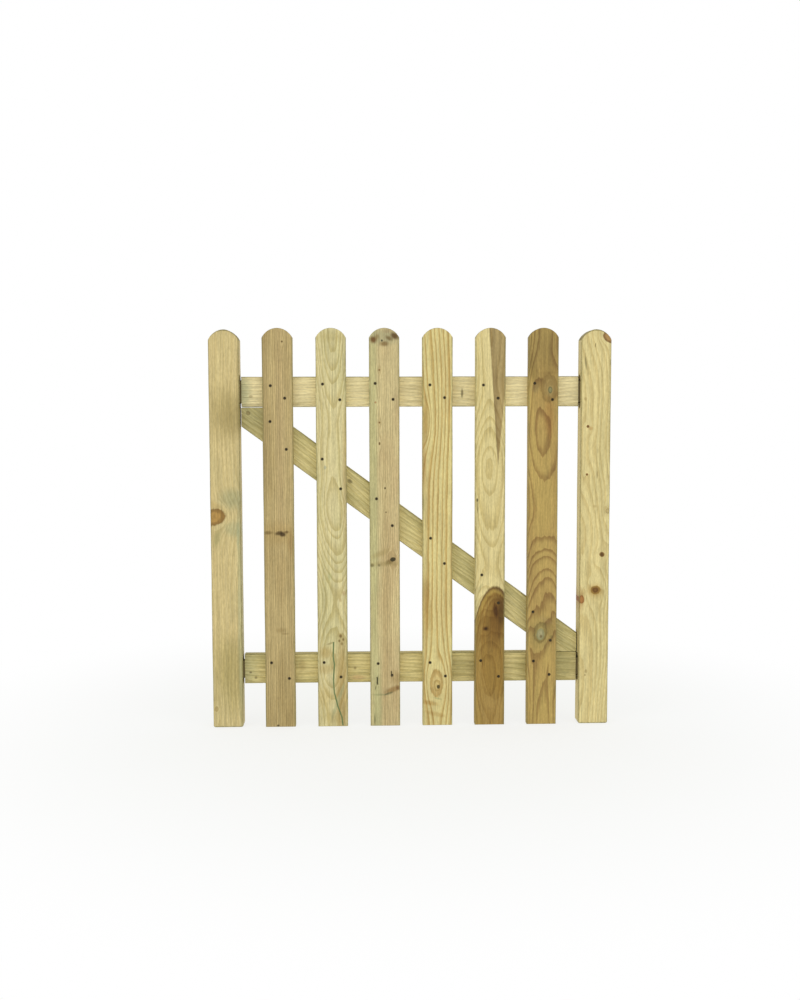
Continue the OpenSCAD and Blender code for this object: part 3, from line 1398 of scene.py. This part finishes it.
@dataclass
class Rails:
    """The two level rails behind the pales."""

    arris: float = 3.5
    tenon_length: float = 36.0
    shoulder_gap: float = 3.0
    top_tenon: float = 52.0
    bottom_tenon: float = 42.0

    def top_wood(self) -> Wood:
        """Cream, with fine grain along it and a dark fleck or two.

        Returns:
            The finish.
        """
        return Wood(
            name="planed_softwood_top_rail",
            early="efe2ae",
            late="d6c68f",
            rings=Rings(5.0, 70.0, 55.0, roll=24.0, contrast=0.55, crisp=0.3, seed=11.3),
            tint="cfc494",
            tint_share=0.15,
            marks=(
                Mark(-17, 224, 2.6, 3.4, "3f2c18", 0.90, 0.4),
                Mark(4, 534, 9.5, 2.6, "3c3820", 0.85, 0.5),
                Mark(0, 44, 34, 14, "b3b88e", 0.60, 0.7),
                Mark(-20, 30, 8, 6, "8c9a7c", 0.45, 0.6),
                Mark(10, 60, 3, 4, "8f7a50", 0.50, 0.5),
                Mark(0, 470, 34, 90, "c9ba88", 0.40, 0.8),
            ),
        )

    def bottom_wood(self) -> Wood:
        """Greener and darker than the top rail, with brown flecks.

        Returns:
            The finish.
        """
        return Wood(
            name="planed_softwood_bottom_rail",
            early="dccd8e",
            late="baaa69",
            rings=Rings(6.5, 50.0, 25.0, rise=0.04, roll=26.0, contrast=0.6, crisp=0.3, seed=19.0),
            tint="aaa56c",
            tint_share=0.22,
            marks=(
                Mark(0, 45, 34, 20, "c4c08e", 0.60, 0.7),
                Mark(8, 52, 2, 3, "5c4a28", 0.70, 0.5),
                Mark(20, 64, 3, 3, "6a5a34", 0.60, 0.5),
                Mark(-8, 170, 12, 8, "a89058", 0.40, 0.6),
                Mark(0, 290, 3, 3, "7a6438", 0.55, 0.5),
                Mark(22, 296, 5, 16, "b78a5c", 0.45, 0.6),
                Mark(0, 560, 30, 60, "a09258", 0.40, 0.8),
                Mark(-5, 705, 20, 40, "a29650", 0.45, 0.8),
                Mark(0, 765, 34, 26, "9c9660", 0.60, 0.7),
            ),
        )

    def build(self, name: str, wood: Wood, tenon: float) -> bpy.types.Object:
        """Makes one rail.

        Args:
            name: the CAD node.
            wood: its finish.
            tenon: height of its tenons, in mm.

        Returns:
            The piece.
        """
        low, high = box_mm(name)
        size = high - low
        middle = (low + high) / 2
        board = TenonedBoard(
            name,
            wood,
            "rail_wood",
            np.array([low[0], middle[1], middle[2]]) * MM,
            math.radians(Axis.LEVEL.value),
            size[2],
            size[1],
            self.arris,
            size[0],
            shoulder=self.tenon_length + self.shoulder_gap,
            tenon_height=tenon,
        )
        return board.build()


@dataclass
class Brace:
    """The diagonal from under the top rail at the left stile to the right stile's foot."""

    width: float = 68.0
    arris: float = 3.5
    top_fit: float = 0.5

    def wood(self) -> Wood:
        """Green-tan, with a knot near each end.

        Returns:
            The finish.
        """
        return Wood(
            name="planed_softwood_brace",
            early="dacd90",
            late="b8a968",
            rings=Rings(6.0, 55.0, 30.0, rise=0.02, roll=26.0, contrast=0.6, crisp=0.3, seed=23.0),
            tint="a9a56e",
            tint_share=0.25,
            marks=(
                Mark(0, 60, 40, 60, "a8a270", 0.60, 0.7),
                Mark(0, 890, 40, 70, "aca26a", 0.40, 0.7),
                Mark(-10, 330, 4, 6, "5e5230", 0.70, 0.5),
                Mark(8, 322, 3, 5, "6a5c38", 0.60, 0.5),
            ),
            knots=(
                Knot(0, 56, 4, 5, "8a7a4c", "6f6238", 0.7),
                Knot(-30, 860, 6, 8, "5a4a26", "4a3c1e", 0.9),
            ),
        )

    def build(self) -> bpy.types.Object:
        """Makes the brace along the diagonal of the opening between the stiles and rails.

        Returns:
            The piece.
        """
        low, high = box_mm("diagonal_brace")
        floor, roof = box_mm("bottom_rail")[1][2], box_mm("top_rail")[0][2]
        side = box_mm("right_stile")[0][0]
        slope = math.atan2(roof - floor, 2 * side)
        length = math.hypot(roof - floor, 2 * side) + self.width
        run = np.array([math.cos(slope), 0.0, -math.sin(slope)])
        middle = np.array([0.0, (low[1] + high[1]) / 2, (floor + roof) / 2])
        board = MitredBoard(
            "diagonal_brace",
            self.wood(),
            "brace_wood",
            (middle - run * length / 2) * MM,
            math.radians(Axis.LEVEL.value) + slope,
            self.width,
            high[1] - low[1],
            self.arris,
            length,
            ease=0.4,
            reach=high[0],
            rise=(roof - floor) / 2,
            top_fit=self.top_fit,
        )
        return board.build()


@dataclass
class Pales:
    """The six thin uprights nailed to the front of the rails and the brace."""

    arris: float = 1.5
    ease: float = 0.9

    def woods(self) -> tuple[Wood, ...]:
        """The six finishes, from the left.

        Returns:
            The finishes.
        """
        return (
            self.first(),
            self.second(),
            self.third(),
            self.fourth(),
            self.fifth(),
            self.sixth(),
        )

    def first(self) -> Wood:
        """Brown-tan, with fine straight grain and one smear of dark knots halfway.

        Returns:
            The finish.
        """
        return Wood(
            name="planed_softwood_pale_1",
            early="bfac78",
            late="9a8453",
            rings=Rings(4.2, 190.0, 40.0, roll=8.0, sway=3.0, contrast=0.75, crisp=0.4, seed=31.0),
            tint="aa9460",
            tint_share=0.25,
            streak=0.13,
            marks=(
                Mark(5, 640, 9, 260, "bfa97a", 0.45, 0.8),
                Mark(-30, 700, 8, 200, "978456", 0.45, 0.7),
                Mark(0, 442, 38, 24, "ad9258", 0.45, 0.7),
                Mark(-24, 444, 9, 4, "7a6538", 0.75, 0.6),
                Mark(0, 443, 8, 4, "4e3c1c", 0.85, 0.6, -18),
                Mark(8, 440, 7, 5, "3c2a12", 0.90, 0.5),
                Mark(17, 445, 5, 3, "5a4420", 0.75, 0.6),
                Mark(26, 420, 7, 26, "9c7f4c", 0.45, 0.7),
                Mark(3, 222, 10, 5, "917a48", 0.45, 0.7),
                Mark(12, 214, 8, 2, "856e3e", 0.45, 0.6),
                Mark(14, 60, 18, 90, "9a8450", 0.35, 0.8),
                Mark(-6, 3, 3, 2.4, "3c3018", 0.80, 0.5),
            ),
            knots=(Knot(11, 870, 2.2, 2.2, "6e5a34", "84704a"),),
        )

    def second(self) -> Wood:
        """Light green-yellow with nested arcs at the top, and a green split at the foot.

        Returns:
            The finish.
        """
        return Wood(
            name="planed_softwood_pale_2",
            early="d6cb97",
            late="b3a264",
            rings=Rings(
                3.2, 9.0, 50.0, rise=-0.036, roll=24.0, roll_length=200.0, sway=8.0, contrast=0.62,
                crisp=0.35, wave=5.0, seed=41.0,
            ),
            streak=0.15,
            tint="bcb884",
            tint_share=0.22,
            marks=(
                Mark(2, 880, 24, 10, "b0a266", 0.40, 0.7),
                Mark(30, 560, 6, 120, "bfa068", 0.30, 0.7),
                Mark(-15, 170, 13, 13, "b39a58", 0.60, 0.6),
                Mark(-14, 132, 17, 10, "b59c5c", 0.45, 0.6),
                Mark(-18, 66, 16, 24, "bea868", 0.45, 0.7),
                Mark(20, 90, 13, 110, "ab9155", 0.70, 0.5),
                Mark(-5, 22, 20, 12, "bfae70", 0.40, 0.7),
                Mark(18, 208, 3, 4, "7c6436", 0.80, 0.5),
                Mark(24, 200, 2.4, 3, "7c6436", 0.75, 0.5),
                Mark(15, 197, 2.4, 3, "7c6436", 0.75, 0.5),
                Mark(21, 190, 3, 3, "84703e", 0.65, 0.5),
                Mark(-6, 191, 8, 2, "8a7a4a", 0.55, 0.6, -20),
                Mark(12, 60, 4, 44, "8f9a72", 0.45, 0.6, 20),
                Mark(26, 306, 4, 5, "a07c4c", 0.45, 0.6),
                Mark(18, 290, 3, 4, "9a7a4c", 0.35, 0.6),
                Mark(-5, 344, 4, 8, "a3a876", 0.50, 0.6),
                Mark(-14, 590, 3, 4, "8f9a86", 0.60, 0.6),
            ),
            knots=(Knot(20, 200, 9, 8, strength=0.0, flow=1.3, stretch=1.6),),
            split_and_tenon_shade_colour="6a7f52",
        )

    def third(self) -> Wood:
        """Fine and straight, green to the left and pinkish to the right, mouldy at the top.

        Returns:
            The finish.
        """
        return Wood(
            name="planed_softwood_pale_3",
            early="cfc08d",
            late="ad9866",
            rings=Rings(3.8, 160.0, 50.0, roll=8.0, sway=3.0, contrast=0.6, crisp=0.4, seed=53.0),
            tint="bfa678",
            tint_share=0.25,
            streak=0.11,
            marks=(
                Mark(-26, 520, 10, 560, "b9bb84", 0.60, 0.6),
                Mark(-16, 40, 8, 110, "b5ba86", 0.55, 0.7),
                Mark(0, 880, 34, 16, "a3a17c", 0.65, 0.6),
                Mark(-24, 874, 7, 7, "70491c", 0.90, 0.6),
                Mark(-16, 880, 5, 6, "907844", 0.60, 0.6),
                Mark(24, 882, 9, 7, "5c401a", 0.90, 0.6, 25),
                Mark(11, 877, 8, 4, "6f5a2e", 0.75, 0.6, 30),
                Mark(0, 865, 9, 5, "7c6030", 0.75, 0.6),
                Mark(-5, 872, 2.2, 2.2, "2e3020", 0.85, 0.5),
                Mark(8, 893, 10, 4, "a08c66", 0.50, 0.6),
                Mark(2, 300, 8, 320, "b39c68", 0.35, 0.8),
                Mark(-10, 395, 22, 6, "9f8d54", 0.45, 0.7, -24),
                Mark(10, 376, 9, 5, "7b683a", 0.70, 0.6, -20),
                Mark(-29, 369, 4, 4, "5c5430", 0.80, 0.6),
                Mark(-13, 369, 3, 3, "6a6a48", 0.80, 0.6),
                Mark(0, 372, 28, 5, "a3925c", 0.50, 0.7),
                Mark(-18, 104, 1.5, 10, "3a391c", 0.90, 0.4, 6),
                Mark(14, 120, 1.4, 7, "453f1f", 0.90, 0.4, -5),
                Mark(-22, 88, 1.0, 5, "5a5a34", 0.70, 0.4, 10),
                Mark(-24, 14, 1.2, 12, "45502e", 0.80, 0.5),
                Mark(-10, 72, 18, 2.2, "98986a", 0.60, 0.6),
                Mark(18, 84, 18, 6, "9a7c4a", 0.80, 0.5, -22),
                Mark(8, 75, 10, 2.4, "6e6c48", 0.75, 0.5, -18),
                Mark(30, 88, 5, 5, "7a5a34", 0.70, 0.5, -22),
                Mark(26, 110, 12, 16, "a88f5a", 0.50, 0.6, -30),
            ),
            knots=(
                Knot(-11, 807, 2.0, 2.4, "84683c", "9c8454", flow=2.0),
                Knot(-20, 735, 2.4, 2.2, "a5794a", "a5865a", 0.8, flow=2.0),
                Knot(-11, 690, 2.2, 2.2, "7f6438", "94784a", flow=2.0),
                Knot(-11, 643, 2.0, 3.4, "6c5630", "8a7346", flow=2.0),
                Knot(1, 543, 1.8, 2.4, "4c4226", "7a6a40", flow=2.0),
                Knot(3, 489, 1.6, 2.0, "5c4e2c", "8a7a4c", flow=2.0),
                Knot(18, 382, 6.0, 4.6, "33301c", "4a3f22", flow=1.8, turn=-15),
            ),
        )

    def fourth(self) -> Wood:
        """Bold yellow-orange stripes that swing round an eye near the foot.

        Returns:
            The finish.
        """
        return Wood(
            name="planed_softwood_pale_4",
            early="dacd8e",
            late="b3924c",
            rings=Rings(
                8.6, -150.0, 60.0, roll=22.0, roll_length=260.0, sway=5.0, contrast=0.85,
                crisp=0.4, wobble=0.35, seed=60.4,
            ),
            tint="c8b47a",
            tint_share=0.2,
            streak=0.07,
            marks=(
                Mark(-27, 700, 7, 44, "b0924e", 0.70, 0.6),
                Mark(-30, 590, 5, 50, "b59458", 0.65, 0.6),
                Mark(-28, 300, 9, 40, "b3924e", 0.50, 0.7),
                Mark(-24, 250, 12, 36, "b8994f", 0.45, 0.7),
                Mark(-18, 52, 18, 5, "b08c46", 0.60, 0.6, 12),
                Mark(-4, 26, 22, 5, "b18f4a", 0.45, 0.6, 14),
                Mark(-32, 510, 2, 20, "6a6a3c", 0.50, 0.6),
                Mark(3, 118, 1.4, 9, "6c7a4a", 0.60, 0.5),
                Mark(0, 62, 8, 2, "8a9460", 0.50, 0.6, 15),
            ),
            knots=(
                Knot(-42, 690, 20, 30, strength=0.0, flow=1.1, stretch=1.6),
                Knot(-2, 97, 14, 30, "d2bc7c", "a5813e", 0.85, flow=1.35, stretch=1.25),
                Knot(-1, 92, 7, 13, "cdb878", "9c7c3c", 0.80, flow=1.0),
                Knot(2, 89, 3.4, 4.6, "3c3a20", "6c5a30", 0.95, flow=1.0),
            ),
        )

    def fifth(self) -> Wood:
        """Light sapwood with a dark wedge of heartwood above, and a great knot and brown below.

        Returns:
            The finish.
        """
        return Wood(
            name="planed_softwood_pale_5",
            early="dccd92",
            late="bca868",
            rings=Rings(
                3.6, 4.0, 28.0, rise=0.03, roll=24.0, roll_length=240.0, sway=6.0, contrast=0.60,
                crisp=0.4, seed=71.0,
            ),
            tint="cdbf84",
            tint_share=0.2,
            marks=(
                Mark(-29, 515, 2.2, 4, "3e3a1e", 0.85, 0.5),
                Mark(-28, 500, 1.2, 13, "6a6038", 0.70, 0.5),
                Mark(-22, 315, 3, 10, "8f8c5e", 0.45, 0.6, 20),
                Mark(12, 98, 60, 221, "64461a", 0.92, 0.015, 0, 0.03),
                Mark(11, 93, 58, 219, "aa8e48", 0.95, 0.02, 0, 0.03),
                Mark(13, 140, 46, 164, "805e26", 0.70, 0.02, 0, 0.05),
                Mark(13, 136, 44, 161, "a58848", 0.90, 0.03, 0, 0.05),
                Mark(14, 176, 33, 117, "785620", 0.70, 0.03, 0, 0.07),
                Mark(14, 172, 31, 114, "9a7c3c", 0.90, 0.05, 0, 0.07),
                Mark(16, 240, 18, 56, "6b4a1c", 0.75, 0.35, 6),
                Mark(26, 262, 8, 34, "4e3512", 0.55, 0.5, 4),
                Mark(-14, 236, 14, 26, "86672e", 0.50, 0.6, -10),
                Mark(-6, 206, 24, 14, "8a6a30", 0.55, 0.6, -10),
                Mark(6, 176, 16, 26, "8c6d34", 0.45, 0.7),
                Mark(-9, 222, 7, 5, "5a3c14", 0.85, 0.6, 10),
                Mark(0, 30, 36, 40, "ab8f54", 0.40, 0.7),
            ),
            knots=(
                Knot(14, 262, 6.0, 17, "4a2e0e", "6a4a1c", flow=3.0, stretch=1.2, turn=-8),
                Knot(-9, 222, 4.0, 3.4, "38240c", "5a3e18", flow=2.0),
            ),
            wedges=(Wedge(18, 574, -0.066, 0.092, "a38d5c", "877045"),),
        )

    def sixth(self) -> Wood:
        """Brown, with tall pointed arcs and two knots whose hearts are grey-green.

        Returns:
            The finish.
        """
        return Wood(
            name="planed_softwood_pale_6",
            early="b9a05c",
            late="8a6c3a",
            rings=Rings(
                3.1, 8.0, 34.0, rise=0.035, roll=26.0, roll_length=300.0, sway=8.0, contrast=0.75,
                crisp=0.4, wave=5.0, seed=83.0,
            ),
            tint="a98c52",
            tint_share=0.3,
            streak=0.09,
            marks=(
                Mark(0, 860, 40, 60, "907c48", 0.65, 0.7),
                Mark(-26, 810, 10, 34, "85703a", 0.55, 0.7, -12),
                Mark(12, 840, 8, 36, "9d884e", 0.40, 0.7, 8),
                Mark(-18, 766, 8, 10, "8b7c52", 0.40, 0.6),
                Mark(12, 790, 22, 60, "8e7540", 0.45, 0.7),
                Mark(26, 660, 10, 150, "9f8148", 0.35, 0.7),
                Mark(-3, 208, 24, 34, "90804c", 0.55, 0.7),
                Mark(16, 224, 14, 22, "8d7842", 0.55, 0.7, 24),
                Mark(22, 202, 3.6, 4, "6c6436", 0.60, 0.6),
                Mark(10, 240, 16, 4, "a88f5c", 0.45, 0.6, 30),
                Mark(16, 800, 18, 3, "7c6434", 0.30, 0.7),
                Mark(13, 746, 8, 5, "a8743c", 0.60, 0.6),
                Mark(13, 700, 9, 44, "a87c40", 0.45, 0.7),
            ),
            knots=(
                Knot(13, 766, 18, 30, "a28b53", "7d6534", 0.75, flow=1.3, stretch=1.5),
                Knot(15, 762, 10, 18, "a18c55", "8a7340", 0.60, flow=1.0),
                Knot(15, 762, 4.5, 7.0, "8c8a5e", "5c5e3c", 0.90, flow=1.0),
                Knot(-3, 212, 14, 23, "a8985a", "6a5a30", 0.80, flow=1.9, stretch=1.3, turn=6),
                Knot(-3, 208, 8.5, 13, "a5a078", "8c8a5e", 0.90, flow=1.0, turn=6),
                Knot(-2, 203, 3.0, 4.0, "6f5c38", "8c8458", 0.85, flow=1.0),
            ),
        )

    def splits(self, number: int) -> tuple[Split, ...]:
        """The cracks that are wide enough to have a shape, for pale number, counted from 1.

        Args:
            number: the pale, counted from the left, from 1.

        Returns:
            Its cracks.
        """
        if number == 2:
            path = (
                (2, 193), (1, 161), (3.7, 142), (1.2, 108), (3, 78), (11, 46), (20, 21), (22, 3)
            )
            return (Split(path, 2.0, 1.4, "7f8a5c"),)
        if number == 3:
            return (
                Split(((-19, 112), (-17, 96)), 1.3, 1.5, "3a391c"),
                Split(((14, 125), (15, 113)), 1.1, 1.3, "453f1f"),
            )
        return ()

    def build(self, number: int, wood: Wood) -> bpy.types.Object:
        """Makes one pale.

        Args:
            number: its place from the left, counted from 1.
            wood: its finish.

        Returns:
            The piece.
        """
        name = f"pale_{number}"
        low, high = box_mm(name)
        size = high - low
        middle = (low + high) / 2
        heads = nail_heads(f"{name}_nails", End.NEAR)
        board = ArchedBoard(
            name,
            wood,
            "pale_wood",
            np.array([middle[0], middle[1], low[2]]) * MM,
            math.radians(Axis.UPRIGHT.value),
            size[0],
            size[1],
            self.arris,
            size[2],
            ease=self.ease,
            nails=[(x - middle[0], z - low[2]) for x, z in heads],
            splits=self.splits(number),
        )
        return board.build()


@dataclass
class Nails:
    """Round wire nails: a flat head with a worn rim, a necked shank with grip rings, a point."""

    head: float = 2.75
    shank: float = 1.32
    thick: float = 1.2
    point: float = 4.0
    steel: NailSteel = NailSteel()

    def profile(self, length: float) -> np.ndarray:
        """Radius and depth of a nail's outline, from the middle of its head to its point.

        The head is slightly domed. Under it the shank is fuller for a millimetre, and carries
        four shallow grip rings, each half a sine wave deep.

        Args:
            length: whole length, in mm.

        Returns:
            One row of radius and depth for each ring of the surface, in mm.
        """
        rings = np.linspace(2.4, 6.4, 17)
        grip = self.shank - 0.12 * np.abs(np.sin((rings - 2.4) * math.pi))
        head = [
            (0.0, 0.0),
            (self.head * 0.55, 0.03),
            (self.head * 0.86, 0.12),
            (self.head * 0.98, 0.36),
            (self.head, 0.62),
            (self.head * 0.93, self.thick - 0.08),
            (self.head * 0.7, self.thick),
            (self.shank * 1.1, self.thick + 0.12),
            (self.shank, self.thick + 0.9),
        ]
        tail = [(self.shank, length - self.point), (self.shank * 0.5, length - 1.4), (0.0, length)]
        return np.array([*head, *np.column_stack([grip, rings]).tolist(), *tail])

    def build(self, name: str, end: End) -> bpy.types.Object:
        """Makes one group of nails as a single mesh.

        The outline is turned about the nail's axis: radius times cosine and sine.

        Args:
            name: the CAD node.
            end: NEAR for nails driven from the front, FAR from the back.

        Returns:
            The piece.
        """
        low, high = box_mm(name)
        heads = nail_heads(name, end)
        outline = self.profile(high[1] - low[1])
        sides = 20
        angle = np.arange(sides) * 2 * math.pi / sides
        start = low[1] if end is End.NEAR else high[1]
        radius, depth = outline[:, :1], outline[:, 1:]
        x = radius * np.cos(angle)
        z = radius * np.sin(angle)
        y = np.broadcast_to(start - end.value * depth, x.shape)
        one = np.stack([x, y, z], axis=-1).reshape(-1, 3)
        offset = np.stack([heads[:, 0], np.zeros(len(heads)), heads[:, 1]], axis=1)
        points = (one[None] + offset[:, None]).reshape(-1, 3)
        number = np.arange(x.size).reshape(x.shape)
        number[0], number[-1] = number[0, 0], number[-1, 0]
        after = np.roll(number, -1, axis=1)
        faces = np.stack([number[:-1], number[1:], after[1:], after[:-1]], axis=-1).reshape(-1, 4)
        if end is End.NEAR:
            faces = faces[:, ::-1]
        every = (faces[None] + np.arange(len(heads))[:, None, None] * x.size).reshape(-1, 4)
        used, every = np.unique(every.reshape(-1), return_inverse=True)
        made = new_object(name, points[used] * MM, every.reshape(-1, 4))
        made.data.materials.append(self.steel.material())
        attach(made, "root")
        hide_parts(name)
        log.info("%s: %d nails", name, len(heads))
        return made


# ---- studio ----


@dataclass
class Studio:
    """A white cove, a soft light on either side in front, and a camera just under the gate's top."""

    lens: float = 43.23
    eye: tuple[float, float, float] = (-0.1120, -2.7102, 0.7347)
    heading: float = 1.855
    tilt: float = 4.643
    roll: float = -0.14
    world: float = 0.72
    light_size: float = 2.2
    light_tint: str = "fff5e4"  # a warm white, so pale wood stays straw-coloured
    left_light: tuple[float, float, float] = (-2.9, -2.4, 1.7)
    left_power: float = 20.0
    right_light: tuple[float, float, float] = (2.7, -2.6, 1.6)
    right_power: float = 16.0

    def floor(self) -> None:
        """A wide off-white floor just under the gate, faintly mottled."""
        half = 30.0
        low = CAD_BOX[0][2] - 0.3 * MM
        points = np.array([[-half, -half, low], [half, -half, low], [half, half, low], [-half, half, low]])
        made = new_object("floor", points, np.array([[0, 1, 2, 3]]))
        g = Graph("white_painted_studio_floor")
        place = g.add("TexCoord", {}, out=3)
        cloud = g.add("TexNoise", {"Vector": place, "Scale": 2.0, "Detail": 2.0})
        colour = g.add(
            "Mix",
            {0: cloud, 6: linear("f7fdf6"), 7: linear("fbfefa")},
            out=2,
            data_type="RGBA",
        )
        surface = g.add("BsdfDiffuse", {"Color": colour})
        glow = g.add("Emission", {"Color": linear("ffffff"), "Strength": 1.0})
        far = g.add("VectorMath", {0: place}, out=1, operation="LENGTH")
        share = g.add(
            "MapRange",
            {"Value": far, "From Min": 0.4, "From Max": 1.3, "To Min": 0.74, "To Max": 1.0},
            interpolation_type="SMOOTHSTEP",
        )
        lit = g.add("MixShader", {0: share, 1: surface, 2: glow})
        g.add("OutputMaterial", {0: lit})
        made.data.materials.append(g.material)

    def light(self, name: str, place: tuple[float, float, float], power: float) -> None:
        """Hangs a square soft light that faces the middle of the gate.

        Args:
            name: the light's name.
            place: where it hangs, in metres.
            power: its power, in watts.
        """
        lamp = bpy.data.lights.new(name, "AREA")
        lamp.size, lamp.energy = self.light_size, power
        lamp.color = linear(self.light_tint)[:3]
        made = bpy.data.objects.new(name, lamp)
        made.location = place
        aim = Vector((0.0, 0.0, 0.45)) - Vector(place)
        made.rotation_mode = "QUATERNION"
        made.rotation_quaternion = aim.to_track_quat("-Z", "Y")
        bpy.context.scene.collection.objects.link(made)

    def surroundings(self) -> None:
        """A white world that lights the gate less than it shows to the camera."""
        world = bpy.data.worlds.new("white_cove")
        world.use_nodes = True
        tree = world.node_tree
        back = tree.nodes["Background"]
        back.inputs["Color"].default_value = (1.0, 1.0, 1.0, 1.0)
        seen = tree.nodes.new("ShaderNodeLightPath")
        level = tree.nodes.new("ShaderNodeMapRange")
        level.inputs["To Min"].default_value = self.world
        tree.links.new(seen.outputs["Is Camera Ray"], level.inputs["Value"])
        tree.links.new(level.outputs[0], back.inputs["Strength"])
        bpy.context.scene.world = world

    def camera(self) -> None:
        """A camera in front of the gate, a little to the left, looking slightly down."""
        data = bpy.data.cameras.new("camera")
        data.sensor_width, data.lens = 36.0, self.lens
        made = bpy.data.objects.new("camera", data)
        turn = (
            Matrix.Rotation(math.radians(-self.heading), 4, "Z")
            @ Matrix.Rotation(math.radians(90 - self.tilt), 4, "X")
            @ Matrix.Rotation(math.radians(self.roll), 4, "Z")
        )
        made.matrix_world = Matrix.Translation(self.eye) @ turn
        bpy.context.scene.collection.objects.link(made)
        bpy.context.scene.camera = made

    def build(self) -> None:
        """Sets the stage."""
        self.floor()
        self.surroundings()
        self.light("left_soft_light", self.left_light, self.left_power)
        self.light("right_soft_light", self.right_light, self.right_power)
        self.camera()
        scene = bpy.context.scene
        scene.view_settings.view_transform = "Standard"
        scene.view_settings.look = "None"


def main() -> None:
    """Builds the gate's pieces in order and sets the stage."""
    stiles = Stiles()
    stiles.build("left_stile", stiles.left_wood())
    stiles.build("right_stile", stiles.right_wood())
    rails = Rails()
    rails.build("top_rail", rails.top_wood(), rails.top_tenon)
    rails.build("bottom_rail", rails.bottom_wood(), rails.bottom_tenon)
    Brace().build()
    pales = Pales()
    nails = Nails()
    for number, wood in enumerate(pales.woods(), start=1):
        pales.build(number, wood)
        nails.build(f"pale_{number}_nails", End.NEAR)
    for corner in ("top_left", "top_right", "bottom_left", "bottom_right"):
        nails.build(f"{corner}_tenon_nails", End.FAR)
    Studio().build()


if __name__ == "__main__":
    main()
